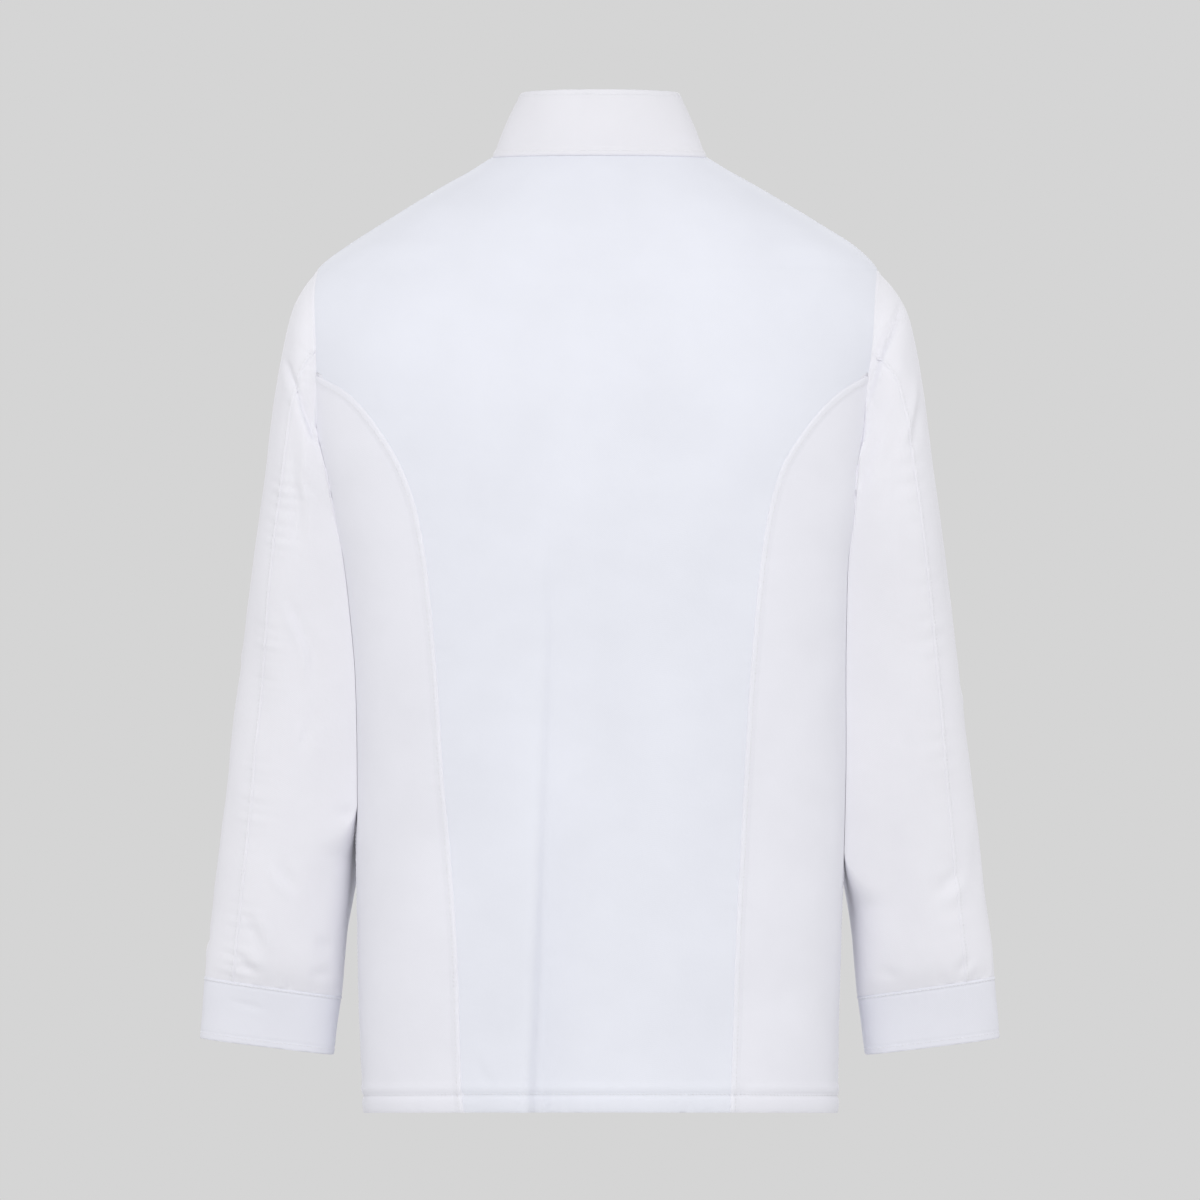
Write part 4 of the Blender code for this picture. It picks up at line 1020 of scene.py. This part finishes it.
def front(side, name, material):
    angles, heights, centre = front_grid(side)
    points, normals = body_grid(angles, heights)
    lift = overlap_lift(points[..., 0], angles) if side == LEFT else 0.0 * angles
    seat = points + normals * lift[..., None]
    turn = FIRST_BELOW_SHOULDER
    first = turn if side == LEFT else turn + RIGHT_LAP_ROWS
    SEAM_LINES[f"collar_seat_{name}"] = seat[: turn + 1, centre]
    SEAM_LINES[f"neck_{name}"] = points[: turn + 1, centre]
    SEAM_LINES[f"lap_top_{name}"] = points[first, : centre + 1]
    SEAM_LINES[f"lap_edge_{name}"] = points[first:, 0]
    edges = [
        HEM,
        Edge(f"armhole_{name}", sunk_edge, 0.00012, 0.009, turns=True),
        Edge(f"side_{name}", sunk_edge, 0.00012, 0.012),
        Edge(f"shoulder_{name}", sunk_edge),
        Edge(f"neck_{name}", sunk_edge, turns=True),
        Edge(f"lap_edge_{name}", stitched_edge, 0.00010, 0.010, round=HEM_ROUND),
        Edge(f"lap_top_{name}", stitched_edge, round=HEM_ROUND),
    ]
    present = np.ones(((points.shape[0] - 1) // 2, (points.shape[1] - 1) // 2), bool)
    present[: first // 2, : centre // 2] = False
    grid, seed = (points, normals), SEEDS["front"] + side
    return panel(f"front_{name}", "body", grid, edges, seed, material, CLOTH, present, lift)


# The collar

COLLAR_STEP = 0.0018
COLLAR_HEIGHT = 0.053


def collar(material):
    """The stand collar, whose two ends meet at the centre front with round corners."""
    right, left = SEAM_LINES["collar_seat_right"][::-1], SEAM_LINES["collar_seat_left"]
    base = np.concatenate([right, SEAM_LINES["neck_back"][1:-1], left])
    base[0] += unit(base[1] - base[0]) * COLLAR_END_GAP / 2
    base[-1] += unit(base[-2] - base[-1]) * COLLAR_END_GAP / 2
    base = resampled(base, COLLAR_STEP)
    base = base[: (len(base) - 1) // 2 * 2 + 1]  # an even number of steps
    along = COLLAR_STEP * np.arange(len(base))
    from_end = np.minimum(along, along[-1] - along)
    rises = smooth(base[:, 1], [y for y, _ in COLLAR_RISES], [rise for _, rise in COLLAR_RISES])
    rises = rises - COLLAR_CORNER_DROP * (1 - rounding(from_end, COLLAR_CORNER))
    top = base * (COLLAR_NARROWS, COLLAR_CLOSES, 1)
    top[:, 2] += rises
    shares = spread(COLLAR_HEIGHT, COLLAR_STEP)[:, None, None]
    points = base + (top - base) * shares
    normals = unit(np.cross(np.gradient(points, axis=0), np.gradient(points, axis=1)))
    normals *= np.sign(np.sum(normals[..., :2] * points[..., :2], axis=-1, keepdims=True))
    points = points + normals * COLLAR_CROWN * np.sin(math.pi * shares)
    SEAM_LINES["collar_base"], SEAM_LINES["collar_top"] = points[0], points[-1]
    SEAM_LINES["collar_end_right"], SEAM_LINES["collar_end_left"] = points[:, 0], points[:, -1]
    edges = [
        Edge("collar_base", rolled_edge, turns=True),
        Edge("collar_top", stitched_edge, 0.00008, 0.012, round=BAND_ROUND),
        Edge("collar_end_right", stitched_edge, round=BAND_ROUND),
        Edge("collar_end_left", stitched_edge, round=BAND_ROUND),
    ]
    return panel("collar", "collar", (points, normals), edges, SEEDS["collar"], material, BAND)


# The sleeves and the cuffs

LAST_STATION = len(SLEEVE_RINGS) - 1
FOLD_LINE_STARTS = 0.5
# The turns at which each panel of a sleeve starts and ends, and the width that sets its columns
SLEEVE_PANELS = {
    "upper": (FORE_SEAM_TURN, 1 + HIND_SEAM_TURN, 0.27),
    "under": (HIND_SEAM_TURN, FORE_SEAM_TURN, 0.20),
}
CUFF_ROUND = 0.268
CUFF_HEIGHT = 0.049


def tube_surface(surface, rings, turns, stations, side):
    turn, station = np.meshgrid(turns, stations)
    last = len(rings) - 1
    above, below = np.clip(station - TINY, 0, last), np.clip(station + TINY, 0, last)
    down = surface(side, turn, below) - surface(side, turn, above)
    round_it = surface(side, turn + TINY, station) - surface(side, turn - TINY, station)
    return surface(side, turn, station), unit(np.cross(down, round_it)) * side


def sleeve_stations(side):
    """Stations that lie evenly along the sleeve's outer edge, closer together at both ends."""
    fine = np.linspace(0, LAST_STATION, STATION_COUNT)
    edge = sleeve_point(side, 0.0, fine, False)
    lengths = np.concatenate([[0], np.cumsum(np.linalg.norm(np.diff(edge, axis=0), axis=-1))])
    return np.interp(spread(lengths[-1]) * lengths[-1], lengths, fine)


def lay_out_sleeve_seams(side, name):
    whole = np.linspace(0, LAST_STATION, SEAM_COUNT)
    against = np.linspace(FOLD_LINE_STARTS, HUG_ENDS[side][0], FOLD_COUNT)
    for what, turn, stations in (
        ("hind", HIND_SEAM_TURN, whole),
        ("fore", FORE_SEAM_TURN, whole),
        ("fold", FOLD_TURN, against),
        ("sleeve_end", np.linspace(0, 1, SEAM_COUNT), LAST_STATION),
    ):
        SEAM_LINES[f"{what}_{name}"] = sleeve_point(side, turn, stations)


def sleeve(side, name, piece, material):
    start, end, width = SLEEVE_PANELS[piece]
    turns = start + (end - start) * spread(width)
    grid = tube_surface(sleeve_point, SLEEVE_RINGS, turns, sleeve_stations(side), side)
    over_seams = narrow_edge if piece == "upper" else sunk_edge
    edges = [
        Edge(f"fold_{name}", flat_edge, turns=True),
        Edge(f"armhole_{name}", narrow_edge, 0.00015, 0.009, turns=True),
        Edge(f"hind_{name}", over_seams, 0.00040, 0.013),
        Edge(f"fore_{name}", over_seams, 0.00015, 0.014),
        Edge(f"sleeve_end_{name}", sunk_edge, 0.00045, 0.013, turns=True),
    ]
    seed = SEEDS["sleeve"] + side
    return panel(f"{piece}_sleeve_{name}", f"sleeve_{name}", grid, edges, seed, material)


def cuff(side, name, material):
    """A plain band, joined on the inside of the arm."""
    turns = 0.5 + spread(CUFF_ROUND, COLLAR_STEP)
    stations = (len(CUFF_RINGS) - 1) * spread(CUFF_HEIGHT, COLLAR_STEP)
    grid = tube_surface(cuff_point, CUFF_RINGS, turns, stations, side)
    SEAM_LINES[f"cuff_top_{name}"], SEAM_LINES[f"cuff_edge_{name}"] = grid[0][0], grid[0][-1]
    edges = [
        Edge(f"cuff_top_{name}", cuff_top_edge, 0.00012, 0.010, turns=True, round=0.0005),
        Edge(f"cuff_edge_{name}", cuff_bottom_edge, 0.00015, 0.012, round=BAND_ROUND),
    ]
    seed = SEEDS["cuff"] + side
    return panel(f"cuff_{name}", f"cuff_{name}", grid, edges, seed, material, BAND)


# Stitching

STITCH_PITCH = 0.0033
GAP_SHARE = 0.22  # the part of the pitch where the thread is under the cloth
THREAD = 0.00023
THREAD_WIDE = 1.3
THREAD_HIGH = 0.8
# along the stitch, how thick the thread is and how far it stands out, in thread widths
STITCH_RINGS = [
    (0.0, 0.35, -0.9),
    (0.15, 0.9, 0.2),
    (0.5, 1.0, 0.55),
    (0.85, 0.9, 0.2),
    (1.0, 0.35, -0.9),
]


def stitch_mesh(starts, ends, normals):
    """Threads that rise from the cloth at each start and sink into it at each end."""
    along = ends - starts
    across = unit(np.cross(normals, along))
    corners = math.pi / 4 + np.arange(4) * math.pi / 2
    vertices = []
    for share, thickness, rise in STITCH_RINGS:
        middle = starts + along * share + normals * THREAD * rise
        for angle in corners:
            out = across * math.cos(angle) * THREAD_WIDE + normals * math.sin(angle) * THREAD_HIGH
            vertices.append(middle + out * THREAD * thickness)
    one = np.array(tube_faces(len(STITCH_RINGS), len(corners)))
    faces = one + np.arange(len(starts))[:, None, None] * len(vertices)
    return np.stack(vertices, axis=1).reshape(-1, 3), faces.reshape(-1, 4)


def nearest_on(cloths, point):
    """(place, outward direction) of the nearest point of these cloths."""
    found = [SURFACES[cloth].find_nearest(Vector(point)) for cloth in cloths]
    place, outward, _, _ = min(found, key=lambda item: item[3])
    return place[:], outward[:]


def beside(line, cloth, distance):
    """The line moved that far into the cloth from its edge, along the cloth's surface."""
    tree = SURFACES[cloth]
    tangents = unit(np.gradient(line, axis=0))
    normals = np.array([tree.find_nearest(Vector(point))[1][:] for point in line])
    aside = unit(np.cross(normals, tangents)) * distance
    misses = [sum(tree.find_nearest(Vector(p))[3] for p in line + aside * sign) for sign in (1, -1)]
    return line + aside * (1 if misses[0] < misses[1] else -1)


def stitching(name, rows, material):
    """Rows of stitches. rows is [(line, names of the cloths that it may lie on)]."""
    starts, ends, normals = [], [], []
    for line, cloths in rows:
        line = resampled(line, STITCH_PITCH)
        for here, there in zip(line[:-1], line[1:]):
            there = there + (here - there) * GAP_SHARE
            start, outward = nearest_on(cloths, here)
            starts.append(start)
            normals.append(outward)
            ends.append(nearest_on(cloths, there)[0])
    vertices, faces = stitch_mesh(np.array(starts), np.array(ends), np.array(normals))
    return mesh_object(name, vertices, faces, material)


# The allowances under a seam: across it, and how far below the cloth's face, as a closed section
TAPE_STEP = 0.0020
TAPE_REACH = 0.0030  # how far a tape runs on under the seam where it starts
TAPE_FLARE = 2.2  # how much wider it is there, over this number of its points
TAPE_FLARED = 3
TAPE_FLAT = 0.0006  # the width of flat cloth between two points of the section
TAPE = [
    (-0.0011, 0.0007),
    (-0.0006, 0.0002),
    (0.0, 0.0),
    (0.0006, 0.0002),
    (0.0011, 0.0007),
    (0.0, 0.0012),
]


def seam_tape(name, line, cloths, others, material, sunk):
    """The pressed allowances that show as the floor, or the ridge, between two pieces."""
    line = resampled(line, TAPE_STEP)
    sides = [[nearest_on(names, point) for point in line] for names in (cloths, others)]
    middle = sum(np.array([place for place, _ in side]) for side in sides) / 2
    normals = unit(sum(np.array([outward for _, outward in side]) for side in sides))
    middle[0] += unit(middle[0] - middle[2]) * TAPE_REACH
    across = unit(np.cross(normals, np.gradient(middle, axis=0)))
    count, around = len(line), len(TAPE)
    flare = np.where(np.arange(count) < TAPE_FLARED, TAPE_FLARE, 1.0)[:, None]
    vertices = [middle + across * aside * flare - normals * (below + sunk) for aside, below in TAPE]
    faces = [face[:1] + face[:0:-1] for face in tube_faces(count, around)]
    flat = np.stack(np.meshgrid(np.arange(around) * TAPE_FLAT, np.arange(count) * TAPE_STEP), axis=-1)
    vertices = np.stack(vertices, axis=1).reshape(-1, 3)
    return mesh_object(name, vertices, faces, material, flat.reshape(-1, 2))


# Buttons and buttonholes

BUTTON_RADIUS = 0.0095
BUTTON_THICKNESS = 0.003
BUTTON_COLUMN_X = 0.060
BUTTON_ROWS = 5
BUTTON_TOP_Z = -0.095
BUTTON_SPACING = 0.080
BUTTON_SIDES = 48
SEAM_GAP = 0.0003
HOLE_RADIUS = 0.0009
HOLE_OFFSET = 0.0018
HOLE_SIDES = 16
DISH_RADIUS = 0.0062
DISH_FLOOR = 0.0017
BUTTON_SHARP = math.radians(35)
BUTTON_PROFILE = [
    (DISH_RADIUS, 0.0),
    (BUTTON_RADIUS - 0.0012, 0.0),
    (BUTTON_RADIUS - 0.0004, 0.0004),
    (BUTTON_RADIUS, 0.0012),
    (BUTTON_RADIUS - 0.0001, 0.0020),
    (BUTTON_RADIUS - 0.0006, 0.0027),
    (BUTTON_RADIUS - 0.0014, BUTTON_THICKNESS),
    (BUTTON_RADIUS - 0.0022, 0.0028),
    (DISH_RADIUS + 0.0004, 0.0019),
    (DISH_RADIUS, DISH_FLOOR),
]
THREAD_PLACES = (-0.00032, 0.0, 0.00032)


def button_seat(x, z):
    """(point, outward direction, across, up) where a button lies on the left front."""
    angle = angle_at(np.array(x), np.array(z), True) % (2 * math.pi)
    foot, out = body_grid(angle, z)
    foot = foot + out * (overlap_lift(foot[0], angle) + SEAM_GAP)
    across = unit(np.cross(out, (0.0, 0.0, 1.0)))
    return foot, out, across, np.cross(across, out)


def circle_points(radius, sides, middle=(0.0, 0.0)):
    turns = np.arange(sides) * 2 * math.pi / sides
    return np.stack([middle[0] + radius * np.cos(turns), middle[1] + radius * np.sin(turns)], axis=-1)


def button_mesh():
    """(vertices, faces) of a round button with a raised rim and four holes, lying flat at 0."""
    vertices, faces = [], []

    def add(points, height):
        vertices.extend((x, y, height) for x, y in points)
        return list(range(len(vertices) - len(points), len(vertices)))

    def join(first, second):
        for j, k in zip(range(len(first)), [*range(1, len(first)), 0]):
            faces.append([first[j], first[k], second[k], second[j]])

    rings = [add(circle_points(radius, BUTTON_SIDES), height) for radius, height in BUTTON_PROFILE]
    for first, second in zip(rings[:-1], rings[1:]):
        join(first, second)
    corners = [(sx * HOLE_OFFSET, sy * HOLE_OFFSET) for sx, sy in ((1, 1), (-1, 1), (-1, -1), (1, -1))]
    all_holes = []
    for height, ring in ((0.0, rings[0]), (DISH_FLOOR, rings[-1])):
        holes = [add(circle_points(HOLE_RADIUS, HOLE_SIDES, corner), height) for corner in corners]
        all_holes.append(holes)
        loops = [ring] + [hole[::-1] for hole in holes]
        order = [corner for loop in loops for corner in loop]
        for face in tessellate_polygon([[Vector(vertices[v]) for v in loop] for loop in loops]):
            face = [order[k] for k in face]
            a, b, c = (Vector(vertices[v]) for v in face)
            upward = (b - a).cross(c - a).z > 0
            faces.append(face if upward == (height > 0) else face[::-1])
    for lower, upper in zip(*all_holes):
        join(upper, lower)
    return np.array(vertices), faces


def button(name, x, z, plastic, thread, flat_vertices, faces):
    """A button on its node's place, and the threads that hold it."""
    foot, out, across, up = button_seat(x, z)
    axes = np.stack([across, up, out])
    made = mesh_object(f"{name}_detail", flat_vertices @ axes + foot, faces, plastic)
    made.data.set_sharp_from_angle(angle=BUTTON_SHARP)
    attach(made, "root")
    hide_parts(name)
    levels = [side * HOLE_OFFSET + aside for aside in THREAD_PLACES for side in (-1, 1)]
    starts, ends = (
        np.array([(end * HOLE_OFFSET, level, DISH_FLOOR) for level in levels]) @ axes + foot
        for end in (-1, 1)
    )
    vertices, faces = stitch_mesh(starts, ends, np.repeat(out[None], len(starts), axis=0))
    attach(mesh_object(f"{name}_thread", vertices, faces, thread), "root")


BUTTONHOLE_LENGTH = 0.0220
BUTTONHOLE_WIDTH = 0.0034
BUTTONHOLE_PAST = 0.001  # how far it runs on past the button's middle
BEAD = 0.0012
BEAD_RISE = 0.00042
BEAD_SUNK = 0.0001
BEAD_RIB = 0.00007
BEAD_DEPTH = 0.0004
BEAD_ROWS = 6
BEAD_STITCHES = 150
ROUND_END = 1.15  # how soon the straight sides give way to the round ends
GAP_RISE = 0.00012
GAP_DEPTH = 0.0003


def buttonhole(name, x, z, thread, shade):
    """A worked slot in the left front under a fastened button: its overcast rim, and a dark sheet of
    painted shade in its gap.
    """
    tree = SURFACES["cloth_front_left"]
    half = (BUTTONHOLE_LENGTH - BUTTONHOLE_WIDTH) / 2
    foot, _, across, up = button_seat(x, z)
    inwards = across if across[0] > 0 else -across
    middle = foot + inwards * (half - BUTTONHOLE_PAST)
    end = circle_points(1.0, BEAD_STITCHES)
    straight = np.clip(end[:, 0] * (half + BUTTONHOLE_WIDTH / 2) * ROUND_END, -half, half)
    rib = BEAD_RIB * (np.arange(BEAD_STITCHES) % 2)
    rows = []
    for share in np.linspace(-1, 1, BEAD_ROWS):
        flat = end * (BUTTONHOLE_WIDTH / 2 - BEAD / 2 + BEAD / 2 * share)
        flat[:, 0] += straight
        found = [tree.find_nearest(Vector(point)) for point in middle + flat @ (inwards, up)]
        on_cloth, normals = (np.array([item[k][:] for item in found]) for k in (0, 1))
        height = BEAD_RISE * math.sqrt(max(0.0, 1 - share**2)) - BEAD_SUNK
        rows.append(on_cloth + normals * (height + rib * (1 - share**2))[:, None])
    outward = np.mean(normals, axis=0)
    section = np.stack([*rows, rows[-1] - outward * BEAD_DEPTH, rows[0] - outward * BEAD_DEPTH])
    number = numbered(section.shape)
    number = np.pad(number, ((0, 1), (0, 1)), mode="wrap")
    faces = grid_faces(number).reshape(-1, 4)
    rim = mesh_object(f"buttonhole_{name}", section.reshape(-1, 3), faces, thread)
    # The gap is a dark sheet of painted shade inside the slot.
    inner = rows[0] + outward * GAP_RISE
    floor = np.vstack([inner - normals * GAP_DEPTH, inner])
    gap = mesh_object(f"buttonhole_{name}_gap", floor, tube_faces(2, BEAD_STITCHES), shade)
    for made in (rim, gap):
        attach(made, "root")


# Materials


WAVES = 0.314  # the scale of a wave texture that has one band to the metre
WEAVE = (("DIAGONAL", 0.00075, 1.0), ("X", 0.00042, 0.45))  # direction, period and strength
TWIST = 0.00035


def feed(shader, inputs):
    """Sets a shader node's inputs, each to a value or to another node's output."""
    for name, value in inputs.items():
        if isinstance(value, bpy.types.NodeSocket):
            shader.id_data.links.new(value, shader.inputs[name])
        else:
            shader.inputs[name].default_value = value


def node(tree, kind, inputs=None, output=0, **settings):
    """An output of a new shader node that has these inputs and settings."""
    made = tree.nodes.new(f"ShaderNode{kind}")
    for name, value in settings.items():
        setattr(made, name, value)
    feed(made, inputs or {})
    return made.outputs[output]


def new_material(name, color, roughness, inputs=None):
    """(material, its nodes, its shader)."""
    material = bpy.data.materials.new(name)
    material.use_nodes = True
    shader = material.node_tree.nodes["Principled BSDF"]
    feed(shader, {"Base Color": (*color, 1), "Roughness": roughness, **(inputs or {})})
    return material, material.node_tree, shader


def raised(tree, height, strength, distance, below=None):
    """A normal with this height's relief, on top of the relief below it."""
    inputs = {"Height": height, "Strength": strength, "Distance": distance}
    return node(tree, "Bump", inputs | ({"Normal": below} if below else {}))


def twill(name, color):
    """Fine cotton twill: diagonal ribs crossed by yarns, faint slubs and nap, and uneven whiteness."""
    inputs = {"Sheen Weight": 0.12, "Sheen Roughness": 0.5, "Specular IOR Level": 0.25}
    material, tree, shader = new_material(name, color, 0.86, inputs)
    place = node(tree, "TexCoord", output="Object")
    slubs = {"Distortion": 0.6, "Detail": 1.0, "Detail Scale": 2.0}
    slubs["Vector"] = node(tree, "UVMap", output="UV", uv_map="cloth")
    ribs = []
    for direction, period, strength in WEAVE:
        inputs = slubs | {"Scale": WAVES / period}
        wave = node(tree, "TexWave", inputs, "Fac", bands_direction=direction)
        ribs.append(node(tree, "Math", {0: wave, 1: strength}, operation="MULTIPLY"))
    weave = node(tree, "Math", dict(enumerate(ribs)), operation="ADD")
    weave = raised(tree, weave, 0.22, 0.00010)
    nap = node(tree, "TexNoise", {"Vector": place, "Scale": 420.0, "Detail": 4.0}, "Fac")
    patches = node(tree, "TexNoise", {"Vector": place, "Scale": 14.0, "Detail": 3.0}, "Fac")
    shades = node(tree, "ValToRGB", {"Fac": patches}, "Color")
    stops = shades.node.color_ramp.elements
    for stop, position, share in zip(stops, (0.30, 0.70), (0.975, 1.012)):
        stop.position = position
        stop.color = (*(min(1, c * share) for c in color), 1)
    feed(shader, {"Normal": raised(tree, nap, 0.18, 0.00025, weave), "Base Color": shades})
    return material


def spun_thread(name, color):
    """Sewing thread with the ridges of its twist."""
    material, tree, shader = new_material(name, color, 0.6, {"Sheen Weight": 0.1})
    place = node(tree, "TexCoord", output="Object")
    inputs = {"Vector": place, "Scale": WAVES / TWIST}
    ridges = node(tree, "TexWave", inputs, "Fac", bands_direction="DIAGONAL")
    feed(shader, {"Normal": raised(tree, ridges, 0.5, 0.00006)})
    return material


def gloss_plastic(name, color):
    """Moulded plastic with fine handling marks."""
    material, tree, shader = new_material(name, color, 0.28, {"Coat Weight": 0.2})
    place = node(tree, "TexCoord", output="Object")
    marks = node(tree, "TexNoise", {"Vector": place, "Scale": 900.0, "Detail": 5.0}, "Fac")
    rough = node(tree, "MapRange", {"Value": marks, "To Min": 0.22, "To Max": 0.40})
    feed(shader, {"Roughness": rough})
    return material


def floor_paint(name, color):
    material, tree, shader = new_material(name, color, 0.9)
    grain = node(tree, "TexNoise", {"Scale": 60.0}, "Fac")
    feed(shader, {"Normal": node(tree, "Bump", {"Strength": 0.05, "Height": grain})})
    return material


# The scene


BACKDROP = 0.665
# name, azimuth in degrees from the back, height and watts
LIGHTS = [
    ("back_light", 0, 1.4, 72.0),
    ("front_light", 180, 1.4, 72.0),
    ("left_back_light", 62, 0.5, 19.0),
    ("right_back_light", -62, 0.5, 19.0),
    ("left_front_light", 118, 0.5, 12.0),
    ("right_front_light", -118, 0.5, 12.0),
]
LIGHT_AWAY = 4.5
LIGHT_SIZE = 3.0
LIT = (0, 0, -0.30)
FAR = 60
FLOOR_Z = -1.45
FLOOR_RADIUS = 2.5
FLOOR_SIDES = 96


def placed(name, data, place):
    made = bpy.data.objects.new(name, data)
    made.location = place
    bpy.context.scene.collection.objects.link(made)
    return made


def add_light(name, place, watts):
    light = bpy.data.lights.new(name, "AREA")
    light.shape = "DISK"
    light.size = LIGHT_SIZE
    light.energy = watts
    aim = (Vector(LIT) - Vector(place)).to_track_quat("-Z", "Y")
    placed(name, light, place).rotation_euler = aim.to_euler()


def studio():
    scene = bpy.context.scene
    scene.view_settings.view_transform = "Standard"
    camera = bpy.data.cameras.new("camera")
    camera.sensor_width = SENSOR_MM
    camera.lens = SENSOR_MM * CAMERA_DISTANCE / (PICTURE_WIDTH_PX * PIXEL)
    camera.clip_end = FAR
    half = PICTURE_WIDTH_PX / 2
    middle = ((MIDDLE_PX - half) * PIXEL, CAMERA_DISTANCE, (NECK_PX - half) * PIXEL)
    scene.camera = placed("camera", camera, middle)
    scene.camera.rotation_euler = (math.pi / 2, 0, math.pi)
    world = bpy.data.worlds.new("studio")
    world.use_nodes = True
    feed(world.node_tree.nodes["Background"], {"Color": (*[BACKDROP] * 3, 1)})
    scene.world = world
    for name, degrees, height, watts in LIGHTS:
        turn = math.radians(degrees)
        add_light(name, (LIGHT_AWAY * math.sin(turn), LIGHT_AWAY * math.cos(turn), height), watts)
    corners = np.array([(x, y, FLOOR_Z) for x, y in circle_points(FLOOR_RADIUS, FLOOR_SIDES)])
    paint = floor_paint("floor_paint", (0.60, 0.60, 0.60))
    mesh_object("floor", corners, [list(range(FLOOR_SIDES))], paint)


studio()

back_cloth = twill("back_cloth", (0.81, 0.825, 0.895))
# Painted light: side_cloth is a lighter copy of the same white, which lifts the shade at the body's
# sides and rims.
side_cloth = twill("side_cloth", (0.84, 0.84, 0.90))
front_cloth = twill("front_cloth", (0.81, 0.815, 0.875))
collar_cloth = twill("collar_cloth", (0.805, 0.80, 0.845))
# Painted light: sleeve_cloth is a lighter copy of the same white, which lifts the shade along the
# sleeves and their edges.
sleeve_cloth = twill("sleeve_cloth", (0.855, 0.85, 0.90))
cuff_cloth = twill("cuff_cloth", (0.815, 0.82, 0.885))
white_thread = spun_thread("white_thread", (0.84, 0.84, 0.87))
white_plastic = gloss_plastic("white_plastic", (0.86, 0.86, 0.86))
# gap_shade is painted shade: the dark inside the buttonholes' slots.
gap_shade = new_material("gap_shade", (0.10, 0.10, 0.11), 0.9)[0]

lay_out_body_seams()
for side, name in SIDE_NAMES.items():
    lay_out_sleeve_seams(side, name)
made = {"back_centre": back_centre(back_cloth)}
for side, name in SIDE_NAMES.items():
    made[f"side_back_{name}"] = side_back(side, name, side_cloth)
    made[f"front_{name}"] = front(side, name, front_cloth)
    for piece in SLEEVE_PANELS:
        made[f"{piece}_sleeve_{name}"] = sleeve(side, name, piece, sleeve_cloth)
    made[f"cuff_{name}"] = cuff(side, name, cuff_cloth)
made["collar"] = collar(collar_cloth)
SLOTS = {kind: f"{kind}_cloth" for kind in ("back", "side", "front", "collar", "cuff")}
SLOTS["upper"] = SLOTS["under"] = "sleeve_cloth"
for name, piece in made.items():
    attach(piece, "root")
    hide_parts(name)


def topstitch(lines, cloth, distance=TOPSTITCH):
    """Rows of stitches beside these seam lines, on one cloth."""
    return [(beside(SEAM_LINES[line], cloth, distance), (cloth,)) for line in lines]


def sew(name):
    """The tapes and the stitches of one side's seams; stitches are grouped by what they hold."""
    back, side_panel, front_panel = "cloth_back_centre", f"cloth_side_back_{name}", f"cloth_front_{name}"
    upper, under, band = (f"cloth_{what}_{name}" for what in ("upper_sleeve", "under_sleeve", "cuff"))
    body, arm = (back, side_panel, front_panel), (upper, under)
    tapes = [
        ("shoulder", (back,), (front_panel,), back_cloth, 0.0001),
        ("princess", (back,), (side_panel,), side_cloth, 0.0001),
        ("side", (side_panel,), (front_panel,), side_cloth, 0.0001),
        ("hind", (upper,), (under,), sleeve_cloth, 0.0001),
        ("fore", (upper,), (under,), sleeve_cloth, 0.0001),
        ("armhole", body, arm, sleeve_cloth, -0.0002),
        ("sleeve_end", arm, (band,), cuff_cloth, 0.0),
    ]
    for what, *rest in tapes:
        what = f"{what}_{name}"
        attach(seam_tape(f"seam_{what}", SEAM_LINES[what], *rest), "root")
    stitches = {
        "body": topstitch([f"shoulder_{name}"], back)
        + topstitch([f"princess_{name}", f"side_{name}"], side_panel),
        "front": topstitch([f"lap_edge_{name}", f"lap_top_{name}"], front_panel),
        "sleeve": topstitch([f"hind_{name}", f"fore_{name}"], upper, NARROW_STITCH),
        "cuff": topstitch([f"cuff_top_{name}"], band, CUFF_STITCH)
        + topstitch([f"cuff_edge_{name}"], band, CUFF_EDGE_STITCH),
    }
    for what, rows in stitches.items():
        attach(stitching(f"stitches_{what}_{name}", rows, white_thread), "root")


for name in SIDE_NAMES.values():
    sew(name)
panels = ["cloth_back_centre"]
panels += [f"cloth_{kind}_{name}" for kind in ("side_back", "front") for name in SIDE_NAMES.values()]
above_hem = SEAM_LINES["hem"] + (0, 0, HEM_STITCH)
END_STITCHES_IN = 3  # rows by which the stitches of the collar's ends stop short
on_collar = topstitch(["collar_top", "collar_base"], "cloth_collar")
for line, cloths in topstitch(["collar_end_left", "collar_end_right"], "cloth_collar"):
    on_collar.append((line[END_STITCHES_IN:-END_STITCHES_IN], cloths))
for name, rows in (("hem", [(above_hem, panels)]), ("collar", on_collar)):
    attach(stitching(f"stitches_{name}", rows, white_thread), "root")

outline, button_faces = button_mesh()
for side, side_name in SIDE_NAMES.items():
    for row in range(BUTTON_ROWS):
        name = f"{side_name}_{row + 1}"
        x, z = side * BUTTON_COLUMN_X, BUTTON_TOP_Z - row * BUTTON_SPACING
        button(f"button_{name}", x, z, white_plastic, white_thread, outline, button_faces)
        if side == RIGHT:
            buttonhole(name, x, z, white_thread, gap_shade)

# The flat cut of what shows of each piece, and what is sewn to it
Cut = namedtuple("Cut", "piece width length area sewn_on")
CUTS = [
    Cut("back_centre", 0.440, 0.765, 0.2430, "seam_shoulder_left seam_shoulder_right stitches_hem"),
    Cut("side_back", 0.180, 0.600, 0.0800, "seam_princess_* seam_side_* stitches_body_*"),
    Cut("front", 0.400, 0.770, 0.2580, "stitches_front_*"),
    Cut(
        "upper_sleeve", 0.210, 0.650, 0.0970,
        "seam_hind_* seam_fore_* seam_armhole_* stitches_sleeve_*",
    ),
    Cut("under_sleeve", 0.200, 0.570, 0.0870, ""),
    Cut("cuff", 0.275, 0.050, 0.0137, "seam_sleeve_end_* stitches_cuff_*"),
    Cut("collar", 0.500, 0.055, 0.0242, "stitches_collar"),
]
for cut in CUTS:
    for side_name in ("left", "right", ""):
        name = f"{cut.piece}_{side_name}".rstrip("_")
